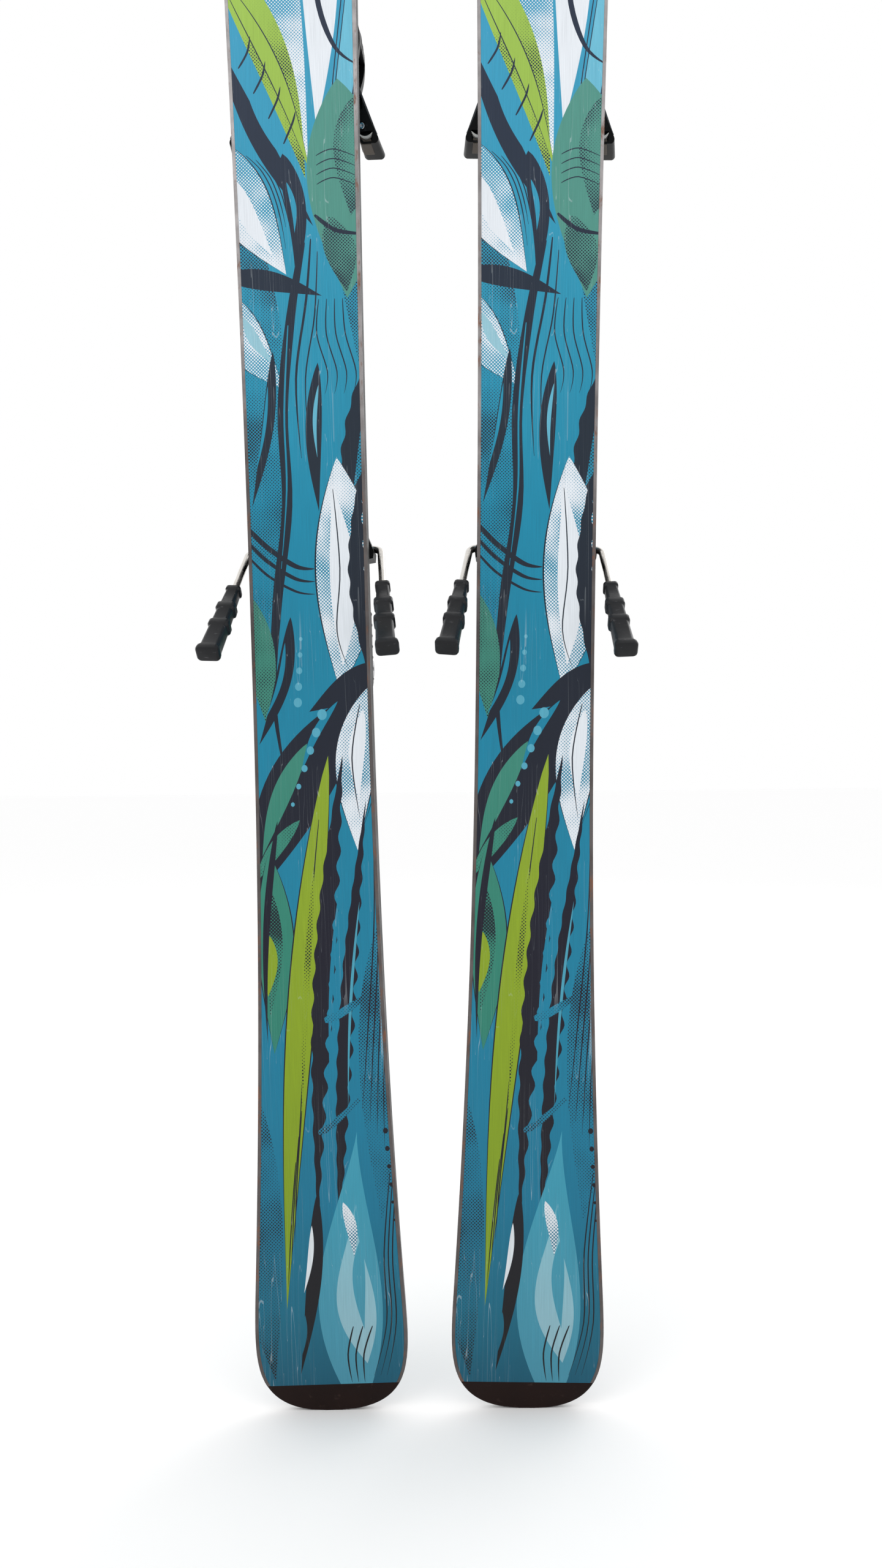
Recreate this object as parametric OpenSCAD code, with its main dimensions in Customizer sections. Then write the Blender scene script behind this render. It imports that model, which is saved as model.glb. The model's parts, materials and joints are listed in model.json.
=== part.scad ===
// A pair of alpine skis with bindings, standing upright side by side, tails down.
//
// Each ski is drawn lying flat in its own frame: X across, Y from the tail to the tip, Z up from the
// plane that its base touches. stand() turns it upright and sets it in its place in the pair.
// In the pair's frame +Z runs up from tail to tip, the bases face -Y and the bindings face +Y.

/* [Ski] */
// Length from tail to tip
ski_length = 1480; // [1300:10:1700]
// Width at the narrowest place
waist_width = 74.4; // [72:0.2:80]
// Distance of the narrowest place from the tail
waist_y = 433; // [420:1:480]
// Radius of the sidecut behind the waist
rear_radius = 6760; // [6600:20:7600]
// Radius of the sidecut ahead of the waist
front_radius = 26000; // [22000:200:30000]
// Height of the unloaded arch of the base
camber = 5; // [2:0.5:6]
// Height that the tip rises to
tip_rise = 58; // [40:1:65]
// Height that the tail rises to
tail_rise = 4.5; // [3.5:0.5:9]
// Height of the flat deck that the binding stands on
deck_z = 18.5; // [17:0.5:20]
// Thickness at the ends of the ski
end_thickness = 5.5; // [4.5:0.1:6.5]
// Thickness of the base sheet, and height of the steel edges
base_thickness = 1.8; // [1.4:0.1:2.2]
// Width of a steel edge
edge_width = 2.2; // [1.8:0.1:2.6]
// Width of a sidewall
sidewall_width = 5; // [4:0.5:7]
// Thickness of the printed top sheet
topsheet_thickness = 0.8; // [0.6:0.1:1.2]
// Length of the cap that protects the tail
tail_cap_length = 17; // [14:1:20]
// Length of the cap that protects the tip
tip_cap_length = 20; // [16:1:26]

/* [Pair] */
// Lean of each ski away from the other, in degrees
splay = 1.225; // [1:0.005:1.5]
// Distance of each tail's centre line from the middle
tail_offset = 60.5; // [60:0.5:75]
// Shift along Y that centres the pair's box
centre_shift = -21.75; // [-30:0.05:-20]

/* [Binding] */
// Place of the boot's toe, from the tail
boot_toe_y = 843; // [840:1:846]
// Place of the boot's heel, from the tail
boot_heel_y = 508; // [506:1:510]
// Height of the boot's sole above the contact plane
sole_z = 39.5; // [39.5:0.1:40]
// Radius of the pins that the wings and the heel jaw turn on
pin_radius = 3; // [2.5:0.1:3.2]

/* [Brake] */
// Diameter of the brake's wire
wire_diameter = 4.6; // [4:0.1:4.8]
// Place of the brake's axle, from the tail
brake_y = 547; // [546:0.5:549]
// Height of the brake's axle
brake_z = 34; // [33.8:0.1:34.4]
// Angle that the arms hang below the deck, in degrees
arm_drop = 46; // [44:1:48]
// Angle that the arms spread outwards, in degrees
arm_spread = 5; // [4:0.5:6]
// Angle that the pedal stands up, in degrees
pedal_rise = 52; // [50:1:54]
// Length of an arm from the axle to the end of its foot
arm_length = 108; // [106:1:112]

/* [Hidden] */
SIDES = ["left", "right"];
PIECES = [
    "base", "steel_edges", "core", "sidewalls", "topsheet", "tail_cap", "tip_cap",
    "toe_track", "heel_track", "track_screws",
    "toe_carriage", "toe_housing", "toe_wing_a", "toe_wing_b", "toe_wing_pins",
    "toe_spring", "toe_piston", "toe_release_screw", "antifriction_plate",
    "heel_carriage", "heel_jaw", "heel_lever", "heel_pin", "heel_spring", "heel_release_screw",
    "brake_plate", "brake_pedal", "brake_arms", "brake_feet", "brake_spring"
];
$fn = 48;

// Ski outline and profile
tail_round_y = 95;
tip_round_y = 1230;
tail_contact_y = 80;
tip_contact_y = tip_round_y;
deck_start_y = 420;
deck_end_y = 960;
round_limit = 0.998;

// Running gap between parts that slide or turn
gap = 0.3;
pin_gap = 0.05;
screw_gap = 0.08;
glue_gap = 0.1;

// Track: a plate with a T-shaped rail on it
plate_half = 33;
plate_thickness = 4;
plate_top = deck_z + plate_thickness;
neck_half = 16;
neck_height = 3;
head_half = 20;
head_height = 3.5;
head_bottom = plate_top + neck_height;
rail_top = head_bottom + head_height;
carriage_bottom = plate_top + gap;
toe_track_span = [748, 952];
heel_track_span = [418, 620];
screw_inset = 9;
screw_x = 26;

// Toe piece
wing_pivot = [23, boot_toe_y + 17];
wing_bottom = sole_z + 1.5;
wing_top = 62.6;
lip_bottom = 59;
slot_end_y = boot_toe_y + 39;
housing_bottom = 36;
housing_top = 72;
toe_barrel_z = 50;
toe_nose_y = boot_toe_y + 92;

// Heel piece
jaw_pivot = [boot_heel_y - 37, 56];
jaw_half = 18;
jaw_barrel_z = 70.5;

// Brake
wire_radius = wire_diameter / 2;
axle_half = 43;
bend_radius = 6;
bend_clearance = 3.6;
foot_length = 66;
foot_start = arm_length - foot_length;
wire_end = arm_length - 18;

function smooth(t) = let (u = min(max(t, 0), 1)) u * u * (3 - 2 * u);
function sidecut(y) = waist_width / 2 + pow(y - waist_y, 2) / (2 * (y < waist_y ? rear_radius : front_radius));
function rounding(u, sharp, blunt) = pow(1 - pow(min(max(u, 0), round_limit), sharp), 1 / blunt);
function half_width(y) = sidecut(y)
    * rounding((tail_round_y - y) / tail_round_y, 5, 2.6)
    * rounding((y - tip_round_y) / (ski_length - tip_round_y), 3, 2);
function arch(y) = camber * pow(sin(180 * (y - tail_contact_y) / (tip_contact_y - tail_contact_y)), 2);
function base_z(y) = y < tail_contact_y ? tail_rise * pow(1 - y / tail_contact_y, 2)
    : y > tip_contact_y ? tip_rise * pow((y - tip_contact_y) / (ski_length - tip_contact_y), 2)
    : arch(y);
function deck_share(y) = y < deck_start_y ? smooth((y - 40) / (deck_start_y - 40))
    : smooth((ski_length - 60 - y) / (ski_length - 60 - deck_end_y));
function top_z(y) = base_z(y) + (1 - deck_share(y)) * end_thickness
    + deck_share(y) * (deck_z - base_z(y));

// Stations along the ski, closer together where the outline turns
tail_stations = [for (a = [90:-6:0]) tail_round_y * (1 - sin(a))];
body_stations = [for (i = [1:28]) tail_round_y + (tip_round_y - tail_round_y) * i / 28];
tip_stations = [for (a = [6:6:90]) tip_round_y + (ski_length - tip_round_y) * sin(a)];
stations = concat(tail_stations, body_stations, tip_stations);
function between(from, to) = concat([from], [for (y = stations) if (y > from + 1 && y < to - 1) y], [to]);

// The lowest point of a leaning ski's tail, which stands at height 0
tail_low = min([for (y = tail_stations) y * cos(splay) - half_width(y) * sin(splay)]);

module stand(side) {
    lean = side == "left" ? -1 : 1;
    translate([lean * tail_offset, centre_shift, -tail_low])
        rotate([0, lean * splay, 0])
            rotate([90, 0, 180])
                children();
}

module mirrored() {
    children();
    mirror([1, 0, 0]) children();
}

// A solid along the ski. Each ring is [y, inner x, outer x, low z, high z].
module run(rings) {
    n = len(rings);
    points = [for (r = rings) each [[r[1], r[0], r[3]], [r[2], r[0], r[3]], [r[2], r[0], r[4]], [r[1], r[0], r[4]]]];
    ends = [[0, 1, 2, 3], [4 * n - 1, 4 * n - 2, 4 * n - 3, 4 * n - 4]];
    walls = [for (i = [0:n - 2], k = [0:3])
        let (j = (k + 1) % 4) [4 * i + k, 4 * i + 4 + k, 4 * i + 4 + j, 4 * i + j]];
    polyhedron(points = points, faces = concat(ends, walls));
}

// A prism along X of a side view in Y and Z
module side_view(points, from, to) {
    translate([from, 0, 0])
        rotate([90, 0, 90])
            linear_extrude(height = to - from) polygon(points);
}

// A prism up Z of a plan in X and Y
module plan_view(points, from, to) {
    translate([0, 0, from])
        linear_extrude(height = to - from) polygon(points);
}

// A cylinder along Y or along X
module rod_y(x, z, radius, from, to) {
    translate([x, from, z])
        rotate([-90, 0, 0]) cylinder(r = radius, h = to - from);
}
module rod_x(y, z, radius, from, to) {
    translate([from, y, z])
        rotate([0, 90, 0]) cylinder(r = radius, h = to - from);
}

module block(x0, x1, y0, y1, z0, z1) {
    translate([x0, y0, z0]) cube([x1 - x0, y1 - y0, z1 - z0]);
}

function arc(centre, radius, from, to, steps = 8) =
    [for (i = [0:steps]) let (a = from + (to - from) * i / steps) centre + radius * [cos(a), sin(a)]];
function rounded_box(half, y0, y1, r) = concat(
    arc([half - r, y0 + r], r, -90, 0, 5), arc([half - r, y1 - r], r, 0, 90, 5),
    arc([-half + r, y1 - r], r, 90, 180, 5), arc([-half + r, y0 + r], r, 180, 270, 5));

// ---- Ski ----

body_y = between(tail_cap_length, ski_length - tip_cap_length);

screw_places = [for (span = [toe_track_span, heel_track_span], x = [-screw_x, screw_x],
    y = [span[0] + screw_inset, span[1] - screw_inset]) [x, y]];
module screw_holes(from) {
    for (p = screw_places)
        translate([p[0], p[1], from]) cylinder(r = 2.5 + pin_gap, h = deck_z + 1 - from);
}

module base() {
    color("teal")
        run([for (y = body_y) let (x = half_width(y) - edge_width)
            [y, -x, x, base_z(y), base_z(y) + base_thickness]]);
}

module steel_edges() {
    color("silver")
        mirrored()
            run([for (y = body_y)
                [y, half_width(y) - edge_width, half_width(y), base_z(y), base_z(y) + base_thickness]]);
}

// The core: a filler in the tail, two in the tip and four lengths of wood, glued end to end
core_joints = concat([tail_cap_length], [for (i = [0, 7, 14, 21, 27]) body_stations[i]],
    [tip_stations[3], ski_length - tip_cap_length]);
module core() {
    color("burlywood")
        difference() {
            for (i = [0:len(core_joints) - 2])
                run([for (y = between(core_joints[i] + (i > 0 ? glue_gap : 0), core_joints[i + 1]))
                    let (x = half_width(y) - sidewall_width)
                    [y, -x, x, base_z(y) + base_thickness, top_z(y) - topsheet_thickness]]);
            screw_holes(deck_z - 9.5);
        }
}

module sidewalls() {
    color("dimgray")
        mirrored()
            run([for (y = body_y)
                [y, half_width(y) - sidewall_width, half_width(y),
                 base_z(y) + base_thickness, top_z(y) - topsheet_thickness]]);
}

module topsheet() {
    color("darkcyan")
        difference() {
            run([for (y = body_y) let (x = half_width(y))
                [y, -x, x, top_z(y) - topsheet_thickness, top_z(y)]]);
            screw_holes(deck_z - 2);
        }
}

module tail_cap() {
    color("black")
        run([for (y = between(0, tail_cap_length)) [y, -half_width(y), half_width(y), base_z(y), top_z(y)]]);
}

module tip_cap() {
    color("black")
        run([for (y = between(ski_length - tip_cap_length, ski_length))
            [y, -half_width(y), half_width(y), base_z(y), top_z(y)]]);
}

// ---- Tracks that the toe and the heel slide on ----

module track(span) {
    color("black")
        difference() {
            union() {
                plan_view(rounded_box(plate_half, span[0], span[1], 8), deck_z, plate_top);
                block(-neck_half, neck_half, span[0] + 16, span[1] - 16, plate_top - 1, head_bottom + 1);
                block(-head_half, head_half, span[0] + 16, span[1] - 16, head_bottom, rail_top);
            }
            for (x = [-screw_x, screw_x], y = [span[0] + screw_inset, span[1] - screw_inset]) {
                translate([x, y, deck_z - 1]) cylinder(r = 2.7, h = plate_thickness + 2);
                translate([x, y, plate_top - 2.8]) cylinder(r = 4.4, h = 4);
            }
        }
}

module toe_track() track(toe_track_span);
module heel_track() track(heel_track_span);

module track_screw() {
    difference() {
        union() {
            translate([0, 0, deck_z - 9]) cylinder(r = 2.5, h = 11);
            translate([0, 0, plate_top - 2.7]) cylinder(r = 4.2, h = 2.5);
        }
        for (turn = [0, 90])
            rotate([0, 0, turn]) translate([-2.4, -0.5, plate_top - 1.6]) cube([4.8, 1, 3]);
    }
}

module track_screws() {
    color("silver")
        for (p = screw_places) translate([p[0], p[1], 0]) track_screw();
}

// The space that a carriage leaves round the rail
module rail_space(from, to) {
    block(-neck_half - gap, neck_half + gap, from, to, plate_top - 1, head_bottom + gap);
    block(-head_half - gap, head_half + gap, from, to, head_bottom - gap, rail_top + gap);
}

// ---- Toe piece ----

afd_span = [boot_toe_y - 69, boot_toe_y - 19];
afd_key = [boot_toe_y - 50, boot_toe_y - 38];

module toe_carriage() {
    color("black")
        difference() {
            union() {
                plan_view(rounded_box(31, boot_toe_y - 75, boot_toe_y + 20, 6), carriage_bottom, 35);
                plan_view(rounded_box(30, boot_toe_y - 8, boot_toe_y + 87, 14), carriage_bottom, housing_bottom);
                block(-18, 18, afd_key[0], afd_key[1], 34, 37);
            }
            rail_space(boot_toe_y - 80, boot_toe_y + 92);
            for (x = [-wing_pivot[0], wing_pivot[0]])
                translate([x, wing_pivot[1], 31]) cylinder(r = pin_radius + pin_gap, h = 8);
        }
}

module antifriction_plate() {
    color("gainsboro")
        difference() {
            plan_view(rounded_box(29, afd_span[0], afd_span[1], 5), 35 + gap, sole_z);
            block(-40, 40, afd_key[0] - gap, afd_key[1] + gap, 34, 37 + gap);
        }
}

// Half-width of the toe housing, widest over the spring's barrel
function housing_half(y) = let (half = 39.5 - pow(y - boot_toe_y - 41, 2) / 92)
    y < boot_toe_y + 41 ? max(30, half) : half;

module toe_housing() {
    ys = [for (i = [0:22]) boot_toe_y + 3 + 89 * i / 22];
    plan = concat([for (y = ys) [housing_half(y), y]], [for (i = [22:-1:0]) [-housing_half(ys[i]), ys[i]]]);
    profile = concat(
        [[boot_toe_y - 11, 63.5], [boot_toe_y - 11, 67]],
        arc([boot_toe_y + 3, 60], 12, 120, 90, 3),
        arc([boot_toe_y + 56, 36], 36, 90, 0, 12),
        [[toe_nose_y, housing_bottom], [boot_toe_y + 3, housing_bottom],
         [boot_toe_y + 3, 63.5]]);
    front = concat(arc([31.5, 64], 8, 0, 90, 5), arc([-31.5, 64], 8, 90, 180, 5), [[-41, housing_bottom], [41, housing_bottom]]);
    color("black")
        difference() {
            intersection() {
                union() {
                    plan_view(plan, housing_bottom, 80);
                    plan_view(rounded_box(25, boot_toe_y - 11, boot_toe_y + 30, 8), 60, 80);
                }
                side_view(profile, -45, 45);
                translate([0, boot_toe_y + 120, 0])
                    rotate([90, 0, 0]) linear_extrude(height = 160) polygon(front);
            }
            mirrored() block(14, 60, boot_toe_y - 20, slot_end_y, 40.7, 63.5);
            rod_y(0, toe_barrel_z, 12.3, boot_toe_y + 21, boot_toe_y + 78);
            rod_y(0, toe_barrel_z, 7.3, boot_toe_y - 5, boot_toe_y + 30);
            rod_y(0, toe_barrel_z - 2, 6 + screw_gap, boot_toe_y + 70, boot_toe_y + 100);
            for (x = [-wing_pivot[0], wing_pivot[0]])
                translate([x, wing_pivot[1], 35]) cylinder(r = pin_radius + pin_gap, h = 32.5);
        }
}

// Plan of a wing's wall, and of the lip that reaches over the boot's sole
wing_y = boot_toe_y + 7;
wing_wall = concat(
    [[30.5, wing_y + 20.5], [51.2, wing_y - 29]],
    arc([48.2, wing_y - 30.2], 3.2, 25, -75, 5),
    arc([40.6, wing_y - 30.2], 3.2, -100, -180, 4),
    [[36.5, wing_y - 22], [34.5, wing_y - 12], [29, wing_y - 4], [21, wing_y + 4], [17.5, wing_y + 11]]);
wing_lip = [[36, wing_y - 4], [44, wing_y - 20], [38, wing_y - 20], [31, wing_y - 16],
    [26, wing_y - 8], [18, wing_y + 1], [22, wing_y + 8]];

module toe_wing() {
    difference() {
        union() {
            plan_view(wing_wall, wing_bottom, wing_top);
            plan_view(wing_lip, lip_bottom, wing_top);
            translate([wing_pivot[0], wing_pivot[1], wing_bottom]) cylinder(r = 8, h = wing_top - wing_bottom);
            translate([38.6, wing_y - 22, wing_bottom - 2.5]) cylinder(r = 3.6, h = 6);
        }
        translate([wing_pivot[0], wing_pivot[1], 30]) cylinder(r = pin_radius + pin_gap, h = 40);
    }
}

module toe_wing_a() color("black") toe_wing();
module toe_wing_b() color("black") mirror([1, 0, 0]) toe_wing();

module toe_wing_pins() {
    color("silver")
        for (x = [-wing_pivot[0], wing_pivot[0]])
            translate([x, wing_pivot[1], 31]) cylinder(r = pin_radius, h = 36.4);
}

// A coil spring along Y, as the rings that its turns fill
module coil_rings(z, mean_radius, wire, from, to, turns) {
    for (i = [0:turns - 1])
        translate([0, from + wire + (to - from - 2 * wire) * i / (turns - 1), z])
            rotate([90, 0, 0])
                rotate_extrude() translate([mean_radius, 0]) circle(r = wire, $fn = 24);
}

module toe_spring() {
    color("silver") coil_rings(toe_barrel_z, 9.4, 1.5, boot_toe_y + 38, boot_toe_y + 73, 7);
}

module toe_piston() {
    color("gray") {
        union() {
            rod_y(0, toe_barrel_z, 7, boot_toe_y + 5, boot_toe_y + 34);
            rod_y(0, toe_barrel_z, 12, boot_toe_y + 33, boot_toe_y + 37.8);
        }
    }
}

module toe_release_screw() {
    color("silver")
        difference() {
            union() {
                rod_y(0, toe_barrel_z - 2, 9.5, boot_toe_y + 73.5, boot_toe_y + 77);
                rod_y(0, toe_barrel_z - 2, 6, boot_toe_y + 76, boot_toe_y + 89);
            }
            block(-4.5, 4.5, boot_toe_y + 86.5, boot_toe_y + 92, toe_barrel_z - 2.8, toe_barrel_z - 1.2);
            block(-0.8, 0.8, boot_toe_y + 86.5, boot_toe_y + 92, toe_barrel_z - 6.5, toe_barrel_z + 2.5);
        }
}

// ---- Heel piece ----

module heel_carriage() {
    rear = boot_heel_y - 56;
    front = boot_heel_y + 4;
    color("black")
        difference() {
            union() {
                plan_view(rounded_box(35.5, rear, front, 8), carriage_bottom, 35);
                plan_view(rounded_box(32, rear + 3, front, 6), 34, sole_z);
                mirrored() {
                    side_view(concat(arc(jaw_pivot, 10, 0, 180, 12),
                        [[jaw_pivot[0] - 16, 38], [jaw_pivot[0] + 16, 38]]), 25, 31);
                }
            }
            rail_space(rear - 5, front + 5);
            rod_x(jaw_pivot[0], jaw_pivot[1], pin_radius + pin_gap, -40, 40);
        }
}

module heel_pin() {
    color("silver") rod_x(jaw_pivot[0], jaw_pivot[1], pin_radius, -32.5, 32.5);
}

jaw_profile = concat(
    [[boot_heel_y - 48.5, 49.5], [boot_heel_y - 38, 44], [boot_heel_y - 8, 44], [boot_heel_y - 4, 42],
     [boot_heel_y + 6, 42], [boot_heel_y + 6, 45.5], [boot_heel_y - 0.5, 48], [boot_heel_y - 0.5, 70.5],
     [boot_heel_y + 11, 71.5], [boot_heel_y + 13, 76]],
    arc([boot_heel_y - 8, 66], 23, 30, 90, 6),
    arc([boot_heel_y - 36, 70], 16, 100, 165, 6));

module heel_jaw() {
    plan = concat([[-jaw_half, boot_heel_y - 60], [jaw_half, boot_heel_y - 60], [jaw_half, boot_heel_y - 18],
        [28, boot_heel_y - 12]], arc([22, boot_heel_y + 7], 6, 0, 90, 4),
        arc([-22, boot_heel_y + 7], 6, 90, 180, 4), [[-28, boot_heel_y - 12], [-jaw_half, boot_heel_y - 18]]);
    front = concat(arc([20, 81], 8, 0, 90, 5), arc([-20, 81], 8, 90, 180, 5), [[-28, 40], [28, 40]]);
    color("black")
        difference() {
            intersection() {
                side_view(jaw_profile, -30, 30);
                plan_view(plan, 38, 95);
                translate([0, boot_heel_y + 30, 0]) rotate([90, 0, 0]) linear_extrude(height = 100) polygon(front);
            }
            rod_x(jaw_pivot[0], jaw_pivot[1], pin_radius + pin_gap, -40, 40);
            rod_y(0, jaw_barrel_z, 9.4 + screw_gap, boot_heel_y - 60, boot_heel_y - 12);
        }
}

module heel_lever() {
    arm = concat(arc(jaw_pivot, 9, -60, 40, 8),
        [[boot_heel_y - 52, 84], [boot_heel_y - 66, 90], [boot_heel_y - 84, 91]],
        arc([boot_heel_y - 84, 87], 4, 90, 200, 4),
        [[boot_heel_y - 64, 81.5], [boot_heel_y - 54, 74], [boot_heel_y - 47.5, 58]]);
    pad = concat([[boot_heel_y - 66, 90], [boot_heel_y - 84, 91]],
        arc([boot_heel_y - 84, 87], 4, 90, 200, 4), [[boot_heel_y - 67, 83]]);
    color("dimgray")
        difference() {
            union() {
                mirrored() side_view(arm, jaw_half + 0.8, 24.2);
                side_view(pad, -24.2, 24.2);
            }
            rod_x(jaw_pivot[0], jaw_pivot[1], pin_radius + pin_gap, -40, 40);
        }
}

module heel_spring() {
    color("silver") coil_rings(jaw_barrel_z, 7.6, 1.5, boot_heel_y - 47, boot_heel_y - 12.5, 8);
}

module heel_release_screw() {
    color("silver")
        difference() {
            rod_y(0, jaw_barrel_z, 9.4, boot_heel_y - 52.5, boot_heel_y - 47.4);
            block(-6, 6, boot_heel_y - 54, boot_heel_y - 51, jaw_barrel_z - 0.8, jaw_barrel_z + 0.8);
        }
}

// ---- Brake ----

module brake_plate() {
    rear = boot_heel_y + 4;
    front = boot_heel_y + 92;
    wedge = [[32, brake_y - 9], [39, brake_y - 8], [39.5, brake_y - 3], [33.5, brake_y + 12]];
    color("black")
        difference() {
            union() {
                plan_view(rounded_box(33, rear, front, 6), carriage_bottom, 30.8);
                block(-33, 33, brake_y - 10, brake_y + 11, 30, sole_z - 0.5);
                mirrored() plan_view(wedge, carriage_bottom, sole_z - 0.5);
            }
            rail_space(rear - 5, front + 5);
            rod_x(brake_y, brake_z, wire_radius + pin_gap, -50, 50);
            mirrored() rod_x(brake_y, brake_z, bend_clearance, 37.2, 50);
            block(-23.5, 23.5, brake_y - 11, brake_y + 12, 30.8, 60);
            block(-23.5, 23.5, brake_y - 5, brake_y + 5, 30.2, 60);
            block(-12, 12, brake_y - 5, brake_y + 5, 29, 60);
        }
}

// Things in the plane of the right arm, with +Z away from the axle
module arm_plane() {
    translate([0, brake_y, brake_z]) rotate([90 + arm_drop, 0, 0]) children();
}

// Things on the right arm, set out along +Z from the corner where it would meet the axle
module along_arm() {
    arm_plane() translate([axle_half, 0, 0]) rotate([0, arm_spread, 0]) children();
}

module brake_half() {
    turn = 90 - arm_spread;
    cut = bend_radius * tan(turn / 2);
    union() {
        rotate([0, 90, 0]) cylinder(r = wire_radius, h = axle_half - cut);
        translate([axle_half - cut, 0, bend_radius])
            rotate([90, 0, 0]) rotate([0, 0, -90])
                rotate_extrude(angle = turn) translate([bend_radius, 0]) circle(r = wire_radius);
        translate([axle_half, 0, 0]) rotate([0, arm_spread, 0])
            translate([0, 0, cut]) cylinder(r = wire_radius, h = wire_end - cut);
    }
}

module brake_arms() {
    color("silver")
        arm_plane()
            union() {
                brake_half();
                mirror([1, 0, 0]) brake_half();
            }
}

// A foot's cross sections along its arm: [start, end, width, depth]
foot_sections = [
    [0, 3.5, 9.6, 9], [3.5, 18, 8.8, 8], [18, 24, 12.2, 10], [24, 36, 10.2, 9],
    [36, 41, 13.2, 10.5], [41, 62, 11.6, 9.5], [62, foot_length, 14.2, 10.5]
];

module brake_feet() {
    color("black")
        mirrored() along_arm()
            difference() {
                translate([0, 0, foot_start])
                    for (s = foot_sections)
                        translate([-s[2] / 2, -s[3] / 2, s[0]]) cube([s[2], s[3], s[1] - s[0]]);
                translate([0, 0, foot_start - 1]) cylinder(r = wire_radius + pin_gap, h = wire_end - foot_start + 1.5);
            }
}

module brake_pedal() {
    color("dimgray")
        translate([0, brake_y, brake_z])
            rotate([pedal_rise, 0, 0])
                difference() {
                    union() {
                        block(-22, 22, 7, 48, -2.6, 3);
                        mirrored() {
                            block(14, 22, -1, 12, -2.6, 3);
                            rotate([0, 90, 0]) translate([0, 0, 14]) cylinder(r = 3.6, h = 8);
                        }
                    }
                    rotate([0, 90, 0]) cylinder(r = wire_radius + pin_gap, h = 60, center = true);
                }
}

module brake_spring() {
    color("silver")
        for (i = [-5:5])
            translate([i * 2.1, brake_y, brake_z])
                rotate([0, 90, 0])
                    rotate_extrude() translate([3.3, 0]) circle(r = 0.8, $fn = 24);
}

module part(piece) {
    if (piece == "base") base();
    if (piece == "steel_edges") steel_edges();
    if (piece == "core") core();
    if (piece == "sidewalls") sidewalls();
    if (piece == "topsheet") topsheet();
    if (piece == "tail_cap") tail_cap();
    if (piece == "tip_cap") tip_cap();
    if (piece == "toe_track") toe_track();
    if (piece == "heel_track") heel_track();
    if (piece == "track_screws") track_screws();
    if (piece == "toe_carriage") toe_carriage();
    if (piece == "toe_housing") toe_housing();
    if (piece == "toe_wing_a") toe_wing_a();
    if (piece == "toe_wing_b") toe_wing_b();
    if (piece == "toe_wing_pins") toe_wing_pins();
    if (piece == "toe_spring") toe_spring();
    if (piece == "toe_piston") toe_piston();
    if (piece == "toe_release_screw") toe_release_screw();
    if (piece == "antifriction_plate") antifriction_plate();
    if (piece == "heel_carriage") heel_carriage();
    if (piece == "heel_jaw") heel_jaw();
    if (piece == "heel_lever") heel_lever();
    if (piece == "heel_pin") heel_pin();
    if (piece == "heel_spring") heel_spring();
    if (piece == "heel_release_screw") heel_release_screw();
    if (piece == "brake_plate") brake_plate();
    if (piece == "brake_pedal") brake_pedal();
    if (piece == "brake_arms") brake_arms();
    if (piece == "brake_feet") brake_feet();
    if (piece == "brake_spring") brake_spring();
}

for (side = SIDES, piece = PIECES)
    stand(side) part(piece);
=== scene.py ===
"""Looks of a pair of alpine skis with bindings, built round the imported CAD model.

Each ski is drawn lying flat in its own frame, in millimetres: X across, Y from the tail to the tip,
Z up from the plane that the base touches. Ski.place sets it upright in the pair's frame, in metres.
The print on the base is drawn as it is seen: U to the right (which is -X), V up from the tail.
"""

import json
import math

import bmesh
import bpy
import numpy as np
from mathutils import Matrix, Vector
from mathutils.geometry import delaunay_2d_cdt


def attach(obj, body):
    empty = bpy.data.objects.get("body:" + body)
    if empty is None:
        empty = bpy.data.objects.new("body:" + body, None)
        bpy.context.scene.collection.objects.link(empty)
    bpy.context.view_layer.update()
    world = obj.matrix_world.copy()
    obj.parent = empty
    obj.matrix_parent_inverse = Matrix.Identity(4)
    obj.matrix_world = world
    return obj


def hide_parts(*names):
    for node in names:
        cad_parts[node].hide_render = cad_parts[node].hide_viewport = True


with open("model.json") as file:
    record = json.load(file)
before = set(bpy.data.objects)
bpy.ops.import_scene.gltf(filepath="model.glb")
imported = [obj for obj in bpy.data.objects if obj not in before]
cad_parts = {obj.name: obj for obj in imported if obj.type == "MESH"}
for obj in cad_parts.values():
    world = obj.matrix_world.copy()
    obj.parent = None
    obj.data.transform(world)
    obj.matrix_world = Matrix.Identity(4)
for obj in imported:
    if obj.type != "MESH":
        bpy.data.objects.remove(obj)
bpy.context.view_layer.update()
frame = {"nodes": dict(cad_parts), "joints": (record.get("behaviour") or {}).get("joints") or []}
NODES = frame["nodes"]
JOINTS = {j["name"]: j for j in frame["joints"]}
MM = 0.001
SIDES = ("left", "right")

# ---- Dimensions, as in part.scad ----

SKI_LENGTH = 1480.0
WAIST_HALF = 37.2
WAIST_Y = 433.0
REAR_RADIUS = 6760.0
FRONT_RADIUS = 26000.0
TAIL_ROUND_Y = 95.0
TIP_ROUND_Y = 1230.0
TAIL_CONTACT_Y = 80.0
CAMBER = 5.0
TIP_RISE = 58.0
TAIL_RISE = 4.5
DECK_Z = 18.5
DECK_SPAN = (420.0, 960.0)
END_THICKNESS = 5.5
BASE_THICKNESS = 1.8
EDGE_WIDTH = 2.2
SIDEWALL_WIDTH = 5.0
TOPSHEET_THICKNESS = 0.8
TAIL_CAP = 17.0
TIP_CAP = 20.0
AXLE = (547.0, 34.0)
AXLE_HALF = 43.0
WIRE_RADIUS = 2.3
BEND_RADIUS = 6.0
ARM_DROP = 46.0
ARM_SPREAD = 5.0
ARM_LENGTH = 108.0
WIRE_END = ARM_LENGTH - 18
FOOT_LENGTH = 66.0
TOE_Y = 843.0
WING_Y = TOE_Y + 7
HEEL_Y = 508.0
PLATE_TOP = 22.5
TRACKS = (("toe", 748, 952), ("heel", 418, 620))


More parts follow.
